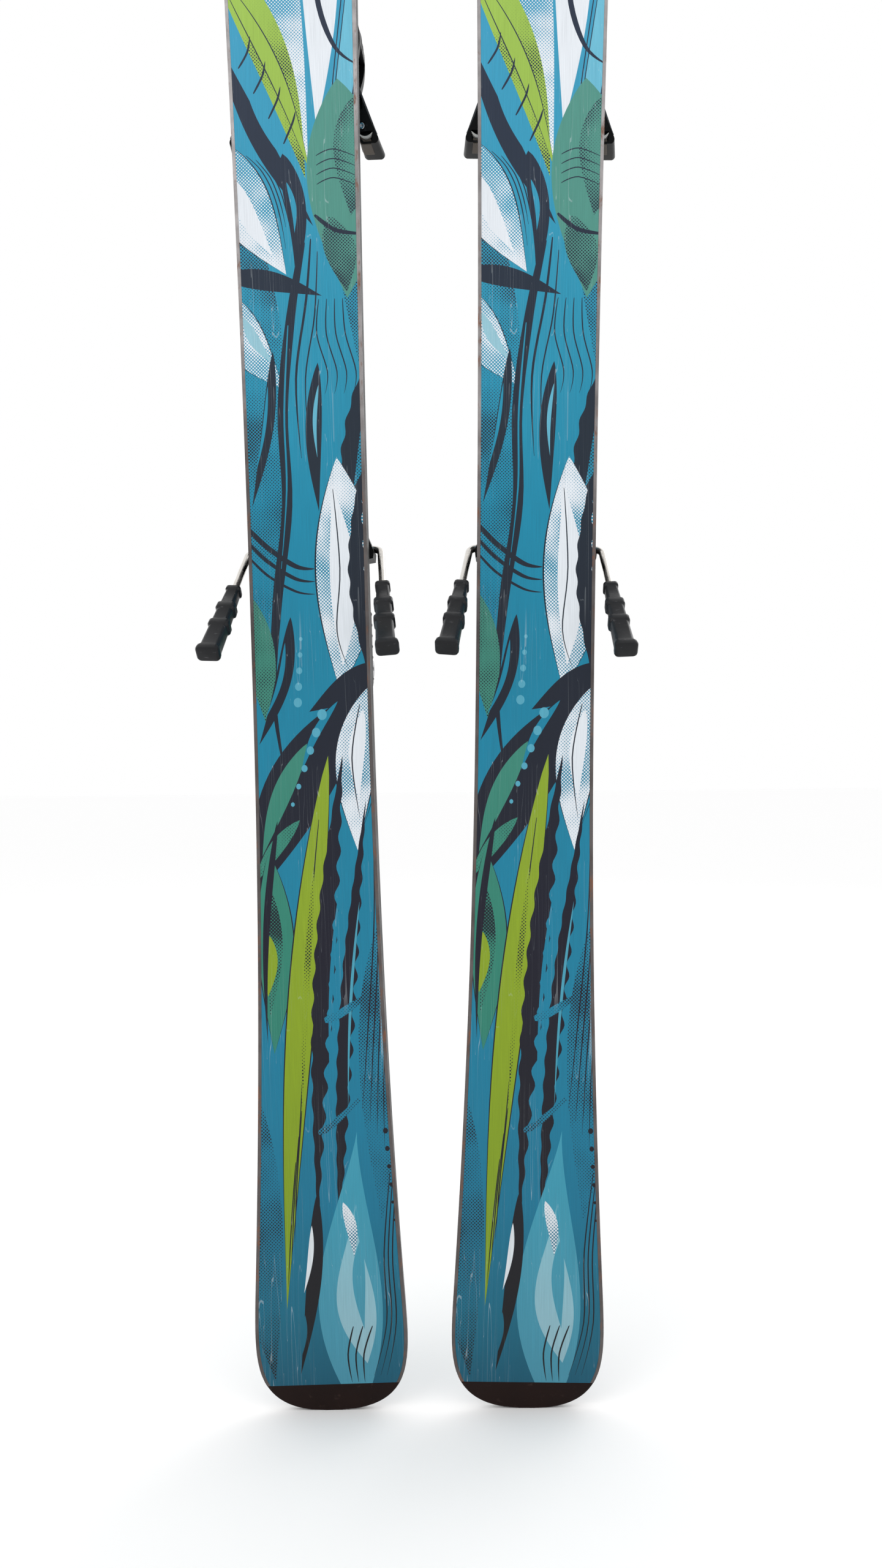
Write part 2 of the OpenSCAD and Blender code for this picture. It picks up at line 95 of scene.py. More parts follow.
def smooth(t):
    u = min(max(t, 0.0), 1.0)
    return u * u * (3 - 2 * u)


def rounding(u, sharp, blunt):
    return (1 - min(max(u, 0.0), 0.9995) ** sharp) ** (1 / blunt)


def half_width(y):
    sidecut = WAIST_HALF + (y - WAIST_Y) ** 2 / (2 * (REAR_RADIUS if y < WAIST_Y else FRONT_RADIUS))
    tail = rounding((TAIL_ROUND_Y - y) / TAIL_ROUND_Y, 5, 2.6)
    tip = rounding((y - TIP_ROUND_Y) / (SKI_LENGTH - TIP_ROUND_Y), 3, 2)
    return sidecut * tail * tip


def base_z(y):
    if y < TAIL_CONTACT_Y:
        return TAIL_RISE * (1 - y / TAIL_CONTACT_Y) ** 2
    if y > TIP_ROUND_Y:
        return TIP_RISE * ((y - TIP_ROUND_Y) / (SKI_LENGTH - TIP_ROUND_Y)) ** 2
    arch = math.sin(math.pi * (y - TAIL_CONTACT_Y) / (TIP_ROUND_Y - TAIL_CONTACT_Y))
    return CAMBER * arch**2


def top_z(y):
    if y < DECK_SPAN[0]:
        share = smooth((y - 40) / (DECK_SPAN[0] - 40))
    else:
        share = smooth((SKI_LENGTH - 60 - y) / (SKI_LENGTH - 60 - DECK_SPAN[1]))
    return base_z(y) + (1 - share) * END_THICKNESS + share * (DECK_Z - base_z(y))


def stations(start, end, pitch=8.0):
    """Places along the ski, closer together where the ends are round."""
    count = round((end - start) / pitch)
    ys = {start, end, *(start + (end - start) * i / count for i in range(count + 1))}
    for i in range(24):
        turn = 1 - math.sin(math.radians(90 * i / 24))
        ys.add(TAIL_ROUND_Y * turn)
        ys.add(SKI_LENGTH - (SKI_LENGTH - TIP_ROUND_Y) * turn)
    ys = sorted(y for y in ys if start <= y <= end)
    kept = [ys[0]]
    for y in ys[1:-1]:
        if y - kept[-1] > 0.6 and end - y > 0.6:
            kept.append(y)
    return [*kept, end]


class Ski:
    """One ski's frame: place turns its millimetres into the pair's metres."""

    def __init__(self, side):
        self.side = side
        up = Vector(JOINTS[f"{side}_toe_slide"]["axis"])
        deck = Vector((0, 1, 0))
        across = up.cross(deck)
        axle = Vector(JOINTS[f"{side}_brake_swing"]["pos_m"])
        origin = axle - (up * AXLE[0] + deck * AXLE[1]) * MM
        self.place = Matrix(
            [[across[i] * MM, up[i] * MM, deck[i] * MM, origin[i]] for i in range(3)] + [[0, 0, 0, 1]]
        )

    def name(self, piece):
        """The full name of one of this ski's nodes, pieces or bodies."""
        return f"{self.side}_{piece}"


# ---- Mesh helpers ----


def make_object(name, bm, ski, materials, body, sharp=35.0, replaces=(), loose=False):
    """An object from a mesh drawn in the ski's frame, riding on one of its bodies."""
    if not loose:
        bmesh.ops.recalc_face_normals(bm, faces=bm.faces)
    limit = math.radians(sharp)
    for face in bm.faces:
        face.smooth = True
    for edge in bm.edges:
        if len(edge.link_faces) == 2 and edge.calc_face_angle(0.0) > limit:
            edge.smooth = False
    mesh = bpy.data.meshes.new(name)
    bm.to_mesh(mesh)
    bm.free()
    mesh.transform(ski.place)
    for material in materials if isinstance(materials, (list, tuple)) else [materials]:
        mesh.materials.append(material)
    obj = bpy.data.objects.new(name, mesh)
    bpy.context.scene.collection.objects.link(obj)
    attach(obj, ski.name(body))
    if replaces:
        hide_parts(*[ski.name(node) for node in replaces])
    return obj


def loft(rings, bm):
    """A skin through rings that have equal numbers of points, with its ends filled."""
    rows = [[bm.verts.new(p) for p in ring] for ring in rings]
    count = len(rows[0])
    for a, b in zip(rows, rows[1:]):
        for i in range(count):
            j = (i + 1) % count
            bm.faces.new((a[i], a[j], b[j], b[i]))
    bm.faces.new(rows[0][::-1])
    bm.faces.new(rows[-1])


def arc(x, y, radius, start, end, steps=8):
    angles = [math.radians(start + (end - start) * i / steps) for i in range(steps + 1)]
    return [(x + radius * math.cos(a), y + radius * math.sin(a)) for a in angles]


def ring_of(x, y, radius, count=24):
    angles = [2 * math.pi * i / count for i in range(count)]
    return [(x + radius * math.cos(a), y + radius * math.sin(a)) for a in angles]


def slab(x0, x1, y0, y1, radius=1.0):
    """A rectangle with round corners."""
    low_x, high_x, low_y, high_y = x0 + radius, x1 - radius, y0 + radius, y1 - radius
    corners = ((high_x, high_y), (low_x, high_y), (low_x, low_y), (high_x, low_y))
    return [p for i, corner in enumerate(corners) for p in arc(*corner, radius, 90 * i, 90 * i + 90, 4)]


def smooth_path(points, steps=6):
    """A smooth curve through the points."""
    places = [Vector(p) for p in points]
    last = len(places) - 1
    tangents = [(places[i + 1] - places[i - 1]) / 2 if 0 < i < last else Vector((0.0,
        0.0)) for i in range(last + 1)]
    out = []
    for i in range(last):
        for k in range(steps):
            t = k / steps
            h = (2 * t**3 - 3 * t**2 + 1, t**3 - 2 * t**2 + t, 3 * t**2 - 2 * t**3, t**3 - t**2)
            out.append(places[i] * h[0] + tangents[i] * h[1] + places[i + 1] * h[2] + tangents[i + 1] * h[3])
    return [*out, places[-1]]


# ---- Materials ----


def linear(r, g, b):
    """A colour given from 0 to 255 as it looks, as the shader's own values."""
    out = []
    for c in (r, g, b):
        c /= 255
        out.append(c / 12.92 if c <= 0.04045 else ((c + 0.055) / 1.055) ** 2.4)
    return (*out, 1.0)


class Shader:
    """A material and short ways to add nodes to it."""

    def __init__(self, name):
        self.material = bpy.data.materials.new(name)
        self.material.use_nodes = True
        self.tree = self.material.node_tree
        self.tree.nodes.clear()
        self.surface = self.tree.nodes.new("ShaderNodeBsdfPrincipled")
        out = self.tree.nodes.new("ShaderNodeOutputMaterial")
        self.tree.links.new(self.surface.outputs[0], out.inputs[0])

    def node(self, kind, inputs=None, **settings):
        made = self.tree.nodes.new("ShaderNode" + kind)
        for key, value in settings.items():
            setattr(made, key, value)
        for key, value in (inputs or {}).items():
            self.put(made, key, value)
        return made

    def put(self, made, key, value):
        if hasattr(value, "outputs"):
            value = value.outputs[0]
        if isinstance(value, bpy.types.NodeSocket):
            self.tree.links.new(value, made.inputs[key])
        else:
            made.inputs[key].default_value = value

    def set(self, **values):
        for key, value in values.items():
            self.put(self.surface, key.replace("_", " "), value)

    def coords(self, scale, source="Object"):
        if source == "Object":
            start = self.node("TexCoord").outputs["Object"]
        else:
            start = self.node("Attribute", attribute_name=source).outputs["Vector"]
        return self.node("Mapping", {"Vector": start, "Scale": scale})

    def noise(self, scale, detail=3.0, source="Object", rough=0.5):
        return self.node(
            "TexNoise", {"Vector": self.coords(scale, source), "Scale": 1.0, "Detail": detail,
                "Roughness": rough}
        ).outputs["Fac"]

    def math(self, operation, a, b=0.0, clamp=False):
        return self.node("Math", {0: a, 1: b}, operation=operation, use_clamp=clamp)

    def ramp(self, value, low, high, out_low=0.0, out_high=1.0):
        return self.node(
            "MapRange", {"Value": value, "From Min": low, "From Max": high, "To Min": out_low,
                "To Max": out_high}
        )

    def mix(self, share, a, b, blend="MIX"):
        made = self.node("Mix", data_type="RGBA", blend_type=blend)
        self.put(made, "Factor", share)
        self.put(made, 6, a)
        self.put(made, 7, b)
        return made.outputs[2]

    def bump(self, height, strength, distance):
        made = self.node("Bump", {"Height": height, "Strength": strength, "Distance": distance})
        self.tree.links.new(made.outputs[0], self.surface.inputs["Normal"])


def band(shader, value, centre, width):
    """1 where value is within width of centre."""
    away = shader.math("ABSOLUTE", shader.math("SUBTRACT", value, centre))
    return shader.math("LESS_THAN", away, width)


PRINT_ROUGHNESS = 0.36
DOT_PITCH = 1.5
DOT_SPREAD = 0.022


def sheet_finish(shader, colour):
    """Grind lines, wax haze and long scratches over a printed colour."""
    grain = shader.noise((3.2, 0.035, 1.0), 4.0, "print")
    haze = shader.noise((0.02, 0.006, 1.0), 3.0, "print")
    tone = shader.math("ADD", shader.ramp(grain, 0.25, 0.75, 0.86, 1.10),
        shader.ramp(haze, 0.3, 0.7, -0.05, 0.05))
    grey = shader.node("CombineColor", {"Red": tone, "Green": tone, "Blue": tone})
    colour = shader.mix(1.0, colour, grey, "MULTIPLY")
    lines = shader.noise((0.16, 0.004, 1.0), 1.0, "print")
    finer = shader.noise((0.5, 0.012, 1.0), 0.0, "print")
    scratch = shader.math("MAXIMUM", band(shader, lines, 0.5, 0.0022), band(shader, finer, 0.44, 0.003))
    patchy = shader.ramp(shader.noise((0.03, 0.01, 1.0), 1.0, "print"), 0.45, 0.6)
    scratch = shader.math("MULTIPLY", scratch, patchy)
    colour = shader.mix(shader.math("MULTIPLY", scratch, 0.22), colour, linear(215, 225, 230))
    shader.put(shader.surface, "Base Color", colour)
    shader.put(shader.surface, "Roughness", shader.ramp(grain, 0.2, 0.8, PRINT_ROUGHNESS - 0.05,
        PRINT_ROUGHNESS + 0.08))
    shader.bump(shader.math("SUBTRACT", grain, scratch), 0.25, 0.00003)


def along(shader, stops):
    """A colour that changes with V, from stops of (V, colour). The change is partly the print's own fade and
    partly painted light: lighter towards the tip, with painted shade towards the tail.
    """
    split = shader.node("SeparateXYZ", {0: shader.node("Attribute",
        attribute_name="print").outputs["Vector"]})
    ramp = shader.node("ValToRGB", {"Fac": shader.ramp(split.outputs[1], 0.0, SKI_LENGTH)})
    elements = ramp.color_ramp.elements
    while len(elements) < len(stops):
        elements.new(0.5)
    for element, (v, colour) in zip(elements, sorted(stops)):
        element.position = v / SKI_LENGTH
        element.color = (*(max(0.003, (c - 0.018) / 1.04) for c in linear(*colour)[:3]), 1.0)
    return ramp.outputs["Color"]


def dots(shader, low, high):
    """A screen of round dots, 1 inside a dot, whose size follows a slow noise between low and high."""
    turned = shader.node(
        "Mapping",
        {
            "Vector": shader.node("Attribute", attribute_name="print").outputs["Vector"],
            "Rotation": (0, 0, math.radians(45)),
            "Scale": (1 / DOT_PITCH, 1 / DOT_PITCH, 0),
        },
    )
    cell = shader.node("VectorMath", {0: turned}, operation="FRACTION")
    centred = shader.node("VectorMath", {0: cell.outputs[0], 1: (0.5, 0.5, 0.0)}, operation="SUBTRACT")
    away = shader.node("VectorMath", {0: centred.outputs[0]}, operation="LENGTH").outputs["Value"]
    size = shader.ramp(shader.noise((DOT_SPREAD, DOT_SPREAD, 1), 2.0, "print"), 0.35, 0.65, low, high)
    return shader.ramp(shader.math("SUBTRACT", size, away), -0.06, 0.06)


# Every ink's stops get lighter from the tail to the tip. This is partly the print's own fade and partly
# painted light that falls off towards the tail. On NAVY it also adds a painted sheen on the upper part.
TEAL = [
    (0, (34, 84, 104)), (60, (38, 102, 124)), (130, (28, 114, 142)), (250, (26, 124, 153)),
    (400, (30, 128, 157)),
    (560, (38, 134, 164)), (720, (54, 148, 178)), (884, (68, 156, 190)), (1480, (82, 166, 200)),
]
NAVY = [(0, (30, 32, 40)), (300, (36, 40, 50)), (600, (44, 52, 62)), (900, (52, 60, 76)),
    (1480, (58, 66, 86))]
LIME = [(0, (116, 142, 44)), (250, (134, 158, 46)), (600, (142, 168, 62)), (884, (158, 192, 88)),
    (1480, (166, 200, 96))]
GREEN = [(0, (52, 118, 104)), (300, (58, 130, 112)), (760, (86, 146, 134)), (1480, (96, 156, 142))]
WHITE = [(0, (205, 212, 216)), (400, (222, 228, 234)), (1480, (236, 240, 246))]
PALE = [(0, (78, 140, 160)), (140, (66, 146, 168)), (884, (112, 186, 210)), (1480, (130, 196, 218))]
MIST = [(0, (146, 178, 188)), (140, (122, 176, 190)), (1480, (176, 212, 226))]


def ink(name, stops, over=None, low=0.0, high=0.0):
    """A printed ink. With over, dots of that second ink lie on it, of radius low to high in a cell of 1."""
    shader = Shader(name)
    colour = along(shader, stops)
    if over:
        colour = shader.mix(dots(shader, low, high), colour, along(shader, over))
    sheet_finish(shader, colour)
    shader.set(Specular_IOR_Level=0.28)
    return shader.material


def plastic(name, colour, rough=0.42, grain=1.0, scuff=0.25, scuff_colour=(120, 120, 124), shine=0.3,
    tint=1.0):
    """Moulded plastic: fine texture, slight colour change and scuffs."""
    shader = Shader(name)
    fine = shader.noise((1400, 1400, 1400), 2.0)
    slow = shader.noise((40, 40, 40), 3.0)
    marks = shader.noise((160, 700, 160), 3.0, rough=0.7)
    base = linear(*colour)
    dark = tuple(c * 0.7 for c in base[:3]) + (1.0,)
    tone = shader.mix(shader.ramp(slow, 0.35, 0.65), dark, base)
    worn = shader.math("MULTIPLY", shader.ramp(marks, 0.62, 0.74), scuff)
    shader.put(shader.surface, "Base Color", shader.mix(worn, tone, linear(*scuff_colour)))
    shader.put(shader.surface, "Roughness", shader.ramp(slow, 0.3, 0.7, rough - 0.06, rough + 0.08))
    shader.bump(shader.math("ADD", shader.math("MULTIPLY", fine, grain), marks), 0.35, 0.00006)
    shader.set(Specular_IOR_Level=shine, Specular_Tint=(tint, tint, tint, 1))
    return shader.material


def metal(name, colour, rough=0.2, brushed=(300, 300, 300), rust=0.0, wear=0.5, painted_shade=0.0):
    """Bare metal with brushing, dull patches and rust, and painted shade that deepens towards the ground."""
    shader = Shader(name)
    grain = shader.noise(brushed, 3.0)
    slow = shader.noise((70, 70, 70), 3.0)
    bright = linear(*colour)
    dull = tuple(c * 0.55 for c in bright[:3]) + (1.0,)
    tone = shader.mix(shader.ramp(slow, 0.35, 0.7, 0.0, wear), bright, dull)
    # Painted shade: the colour darkens towards a dark brown lower down, by the height Z with a little noise.
    if painted_shade:
        height = shader.node("SeparateXYZ", {0: shader.node("TexCoord").outputs["Object"]}).outputs["Z"]
        patchy = shader.math("ADD", height, shader.ramp(shader.noise((30, 30, 9), 4.0), 0.3, 0.7, -0.12,
            0.12))
        tone = shader.mix(shader.ramp(patchy, 0.5, 0.86, painted_shade, 0.0), tone, linear(48, 38, 34))
    metallic = 1.0
    if rust:
        spots = shader.noise((220, 220, 60), 4.0, rough=0.7)
        share = shader.ramp(spots, 0.66 - rust, 0.8 - rust)
        tone = shader.mix(share, tone, linear(110, 66, 40))
        metallic = shader.math("SUBTRACT", 1.0, share, clamp=True)
    shader.put(shader.surface, "Base Color", tone)
    shader.put(shader.surface, "Metallic", metallic)
    shader.put(shader.surface, "Roughness", shader.ramp(grain, 0.3, 0.7, rough - 0.05, rough + 0.15))
    shader.bump(grain, 0.3, 0.00002)
    return shader.material


INKS = {
    "teal": (TEAL,),
    "navy": (NAVY,),
    "lime": (LIME,),
    "green": (GREEN,),
    "white": (WHITE,),
    "pale": (PALE,),
    "mist": (MIST,),
    "white_dots": (TEAL, WHITE, 0.3, 0.62),
    "green_dots": (GREEN, NAVY, 0.1, 0.5),
    "deep_dots": (TEAL, NAVY, 0.12, 0.42),
    "lime_dots": (LIME, NAVY, 0.05, 0.4),
}
INKS = {name: ink("ink_" + name, *recipe) for name, recipe in INKS.items()}
INK_NAMES = list(INKS)
SHEET_BACK = plastic("sheet_back", (20, 22, 24))
# The steel edges get painted shade that deepens towards the ground.
EDGE_STEEL = metal("edge_steel", (176, 172, 172), 0.34, (900, 900, 60), rust=0.11, wear=0.8, painted_shade=0.75)
SIDEWALL = plastic("sidewall", (30, 28, 28), 0.5, scuff=0.35)
CAP = plastic("cap_black", (29, 16, 13), 0.5, scuff=0.15, scuff_colour=(92, 74, 66), shine=0.16, tint=0.7)
BLACK = plastic("binding_black", (11, 12, 13), 0.42, scuff=0.08, shine=0.2, tint=0.45)
DARK = plastic("lever_dark", (58, 61, 64), 0.45, scuff=0.12)
FOOT = plastic("foot_black", (25, 26, 29), 0.34, scuff=0.3, shine=0.3, tint=0.7)
SLICK = plastic("glide_white", (205, 204, 200), 0.3, scuff=0.2)
CHROME = metal("bright_steel", (196, 197, 200), 0.18, (400, 400, 400), wear=0.5)
WIRE = metal("wire_steel", (226, 222, 216), 0.16, (500, 500, 500), wear=0.35)
SPRING = metal("spring_steel", (150, 150, 152), 0.3)
CAST = metal("cast_metal", (170, 172, 176), 0.4)
TRACK_STEEL = metal("track_steel", (150, 152, 156), 0.32, (600, 600, 600), wear=0.6)
WINDOW = plastic("window_amber", (196, 150, 60), 0.12, grain=0.1, scuff=0.05)
TRIM = plastic("trim_grey", (86, 90, 94), 0.34, scuff=0.08)
MARKS = plastic("marks_white", (214, 216, 214), 0.4, scuff=0.05)
RUBBER = plastic("rubber_grey", (74, 66, 58), 0.6, scuff=0.1)
WOOD = plastic("core_wood", (196, 160, 112), 0.6, scuff=0.0)

# ---- The print ----


def stroke(name, width, *points, end=0.15):
    """A line that swells to its width in the middle and thins at its ends."""
    path = smooth_path(points, 6)
    left, right = [], []
    for i, p in enumerate(path):
        ahead = path[min(i + 1, len(path) - 1)] - path[max(i - 1, 0)]
        side = Vector((-ahead.y, ahead.x)).normalized()
        t = i / (len(path) - 1)
        half = width / 2 * max(end, min(1.0, math.sin(math.pi * (0.12 + 0.88 * t)) * 1.15))
        left.append(p + side * half)
        right.append(p - side * half)
    return (name, left + right[::-1])


LEAF_STEPS = 28
BEAD_STRETCH = 1.15


def leaf(name, start, end, width, bend=0.0, fullest=0.42, wavy=0.0, waves=6):
    """A blade that is pointed at both ends and fullest at a share of its length. Its edges may be wavy."""
    start, end = Vector(start), Vector(end)
    run = end - start
    across = Vector((-run.y, run.x)).normalized()
    power = math.log(0.5) / math.log(fullest)
    left, right = [], []
    count = waves * 8 if wavy else LEAF_STEPS
    for i in range(count + 1):
        t = i / count
        middle = start + run * t + across * bend * math.sin(math.pi * t)
        half = width / 2 * math.sin(math.pi * t**power)
        ripple = wavy * math.sin(2 * math.pi * waves * t) * math.sin(math.pi * t)
        left.append(middle + across * (half + ripple))
        if 0 < i < count:
            right.append(middle - across * (half - ripple * 0.4))
    return (name, left + right[::-1])


def lined(name, start, end, width, bend=0.0, fullest=0.42, line=0.9, echo=0):
    """A leaf with a dark outline, and fine lines that repeat its left edge."""
    shapes = [leaf("navy", start, end, width + 2 * line, bend, fullest),
        leaf(name, start, end, width, bend, fullest)]
    outline = shapes[0][1]
    edge = outline[: LEAF_STEPS + 1]
    middle = (Vector(start) + Vector(end)) / 2
    for k in range(1, echo + 1):
        path = []
        for p in edge[3 + 2 * k : 26 - 2 * k]:
            out = (p - middle) * Vector((1.0, 0.25))
            path.append(p + out.normalized() * 2.4 * k)
        shapes.append(stroke("navy", 0.75, *[(q.x, q.y) for q in path[::3]], end=0.3))
    return shapes


def beads(name, start, end, first, last, count):
    """A row of beads, a little taller than wide, whose radius goes from first to last."""
    shapes = []
    for i in range(count):
        t = i / (count - 1)
        place = Vector(start).lerp(Vector(end), t)
        ring = ring_of(0, 0, first + (last - first) * t, 20)
        shapes.append((name, [place + Vector((x, y * BEAD_STRETCH)) for x, y in ring]))
    return shapes


def flat(items):
    """The shapes of a design, with its lists of shapes opened out."""
    out = []
    for item in items:
        out += item if isinstance(item, list) else [item]
    return out


# The base's print, from the tip down. Each shape covers those before it.
ART = flat([
    # Ground tones
    leaf("deep_dots", (-60, 820), (-30, 470), 60, 6), leaf("deep_dots", (60, 900), (40, 640), 50, -4),
    leaf("deep_dots", (50, 330), (34, 120), 40, 0), leaf("deep_dots", (-60, 240), (-36, 20), 40, 0),
    # Tip
    leaf("pale", (-60, 1400), (34, 1180), 70, 10), leaf("green_dots", (60, 1360), (10, 1040), 60, -12),
    leaf("white_dots", (-50, 1260), (-6, 1000), 50, 8), leaf("white", (-42, 1220), (-14, 1050), 20, 6),
    lined("navy", (44, 1470), (-30, 1230), 34, 10), lined("lime", (-6, 1450), (12, 1120), 22, -12, echo=3),
    leaf("navy", (36, 1240), (10, 1010), 26, 8, wavy=2.0, waves=9),
    lined("pale", (30, 1200), (18, 1060), 9, 4),
    leaf("navy", (-50, 1120), (-20, 960), 30, -8), beads("pale", (-34, 1086), (-28, 1016), 4.5, 1.6, 6),
    # Crossing blades at the top
    leaf("white_dots", (-26, 1010), (8, 788), 42, -6), leaf("white", (14, 1000), (14, 806), 24, 5),
    leaf("lime_dots", (-52, 930), (6, 776), 24, 9), lined("lime", (-44, 905), (9, 780), 9, 6, line=0.7),
    lined("pale", (44, 950), (14, 738), 11, 5, 0.5, line=0.6),
    stroke("navy", 0.7, (34, 900), (27, 850), (18, 780)),
    stroke("navy", 3.4, (14, 1000), (19, 930), (17, 890), (27, 858), (42, 846)),
    leaf("navy", (-50, 872), (10, 746), 12, -5, 0.55), leaf("teal", (-30, 836), (-4, 784), 3.6, -2),
    [stroke("navy", 1.3, (-34 + 9 * i, 846 - 16 * i), (-28 + 9 * i, 856 - 15 * i),
        (-26 + 9 * i, 866 - 16 * i), end=0.2) for i in range(4)],
    # Rounded patches
    leaf("green", (28, 838), (30, 700), 52, 4, 0.45), leaf("green_dots", (38, 826), (34, 752), 30, 3),
    leaf("green_dots", (20, 752), (30, 704), 20, 2), stroke("navy", 2.6, (11, 753), (24, 743), (44, 740)),
    [stroke("navy", 0.7, (13, 790 - 6 * i), (24, 794 - 6 * i), (40, 788 - 6 * i),
        end=0.2) for i in range(4)],
    lined("white_dots", (-46, 800), (-8, 716), 34, -5, echo=3, line=0.8),
    leaf("white", (-38, 776), (-16, 728), 11, -3),
    leaf("navy", (-8, 792), (-2, 712), 13, 5, 0.35), leaf("teal", (-6, 774), (-2, 742), 3.4, 2),
    leaf("navy", (-50, 716), (14, 702), 13, 3, 0.4),
    lined("white_dots", (-44, 704), (-12, 644), 25, -6, line=0.6),
    leaf("mist", (-36, 690), (-18, 660), 7, -2),
    [stroke("navy", 0.8, (12 + 5 * i, 700), (10 + 6 * i, 678), (16 + 6 * i, 654), (14 + 6 * i, 640),
        end=0.2) for i in range(4)],
    # Long ribbons through the middle
    stroke("navy", 6.6, (3, 736), (-6, 690), (-13, 630), (-12, 570), (-20, 510), (-24, 450), (-18, 400),
        end=0.12),
    stroke("teal", 1.1, (-8, 684), (-12, 630), (-12, 580), (-17, 530), end=0.3),
    stroke("navy", 1.5, (8, 738), (4, 700), (-4, 650), (-2, 600), end=0.2),
    stroke("navy", 0.9, (12, 730), (9, 690), (2, 650), (3, 610), end=0.2),
    leaf("navy", (-18, 668), (-34, 570), 7.5, 3), leaf("teal", (-22, 646), (-31, 592), 2.2, 1.4),
    leaf("navy", (46, 668), (18, 548), 34, 9, 0.45, wavy=2.2, waves=7),
    leaf("deep_dots", (42, 640), (30, 580), 9, 3),
    lined("navy", (10, 660), (8, 566), 9, -3, line=0.6), leaf("pale", (10, 646), (8, 600), 2.6, -2),
    # Large pale leaf and its shadow
    lined("white_dots", (20, 600), (18, 452), 40, 6, 0.48, line=1.0, echo=3),
    leaf("white", (16, 586), (20, 468), 17, 4, 0.55),
    stroke("navy", 0.8, (17, 580), (20, 530), (17, 490), (24, 466)),
    leaf("navy", (34, 588), (36, 462), 11, -4, 0.5, wavy=1.6, waves=8),
    leaf("lime_dots", (42, 540), (42, 500), 8, 0),
    leaf("deep_dots", (50, 570), (46, 470), 14, 2),
    [stroke("navy", 3.2 - 0.8 * i, (-40, 560 - 9 * i), (-26, 545 - 9 * i), (-8, 532 - 8 * i),
        (4, 530 - 8 * i), end=0.1) for i in range(3)],
    leaf("green_dots", (-42, 520), (-28, 430), 20, 3), lined("navy", (-12, 500), (-34, 420), 9, 5, line=0.5),
    leaf("teal", (-16, 484), (-30, 436), 3.2, 3), beads("pale", (-6, 486), (-9, 446), 1.1, 2.6, 5),
    # Dark crossing mass
    leaf("navy", (44, 462), (-44, 320), 40, -10, 0.5), leaf("navy", (40, 470), (-2, 440), 16, 2),
    leaf("green", (-4, 420), (-34, 350), 12, -3), leaf("teal", (16, 446), (-8, 402), 5, -3),
    beads("pale", (6, 438), (-14, 382), 3.0, 1.2, 6), leaf("green_dots", (-10, 372), (-40, 332), 9, -2),
    lined("white_dots", (38, 456), (26, 352), 26, -6, 0.4, line=0.9, echo=2),
    leaf("white", (32, 440), (28, 384), 10, -3),
    stroke("navy", 0.8, (30, 444), (24, 410), (28, 372)),
    # Green leaf on the left
    lined("green", (-30, 352), (-30, 226), 22, 3, 0.45, line=0.7),
    leaf("green_dots", (-30, 330), (-32, 250), 10, 3),
    leaf("lime", (-31, 300), (-33, 262), 9, 1), leaf("navy", (-24, 372), (-34, 232), 4.4, -4, 0.35),
    beads("lime", (-38, 330), (-42, 250), 0.9, 1.8, 6),
    # Lime blade
    lined("lime", (9, 412), (-27, 66), 17, -5, 0.4, line=0.8),
    stroke("navy", 0.8, (2, 372), (-6, 300), (-13, 210), (-20, 130)),
    leaf("lime_dots", (-2, 340), (-14, 190), 4, -1),
    # Dark feathers
    leaf("navy", (18, 412), (-6, 116), 11.5, -5, 0.45, wavy=2.0, waves=16),
    leaf("navy", (32, 384), (7, 108), 9.0, -4, 0.5, wavy=1.3, waves=18),
    leaf("teal", (14, 330), (4, 210), 2.6, -2), leaf("pale", (26, 320), (15, 190), 1.8, -2),
    [stroke("navy", 0.8, (36 + 2 * i, 372 - 20 * i), (35 + 2.2 * i, 310 - 14 * i),
        (29 + 3 * i, 240 - 10 * i), (24 + 4.4 * i, 190 - 8 * i), end=0.2) for i in range(4)],
    stroke("deep_dots", 5.0, (2, 246), (12, 250), (30, 262), end=0.6),
    stroke("deep_dots", 4.0, (-4, 176), (4, 180), (22, 196), end=0.6),
    [stroke("navy", 0.7, (-14 - 2.4 * i, 190 - 16 * i), (-18 - 2.4 * i, 150 - 16 * i),
        (-21 - 2.4 * i, 108 - 14 * i), end=0.2) for i in range(3)],
    # Pale leaves at the tail
    lined("pale", (20, 176), (16, -6), 40, -5, 0.6, line=0.0),
    leaf("mist", (17, 128), (22, 30), 24, -4, 0.62), leaf("pale", (20, 108), (21, 52), 8, -2),
    leaf("white_dots", (10, 132), (16, 98), 7, 2), leaf("navy", (-6, 138), (-20, 24), 9.5, 3, 0.4),
    leaf("white", (-10, 118), (-16, 76), 3.4, 1.4), leaf("teal", (-16, 62), (-19, 36), 2.4, 1),
    [stroke("navy", 0.8, (44 - 2 * i, 150), (40 - 2.6 * i, 100), (41 - 3 * i, 56), (34 - 4 * i, 22),
        end=0.2) for i in range(3)],
    [stroke("navy", 1.0, (26 - 6 * i, 54), (20 - 5 * i, 36), (20 - 4 * i, 18), end=0.2) for i in range(3)],
    beads("navy", (38, 176), (42, 120), 1.6, 0.7, 6),
])

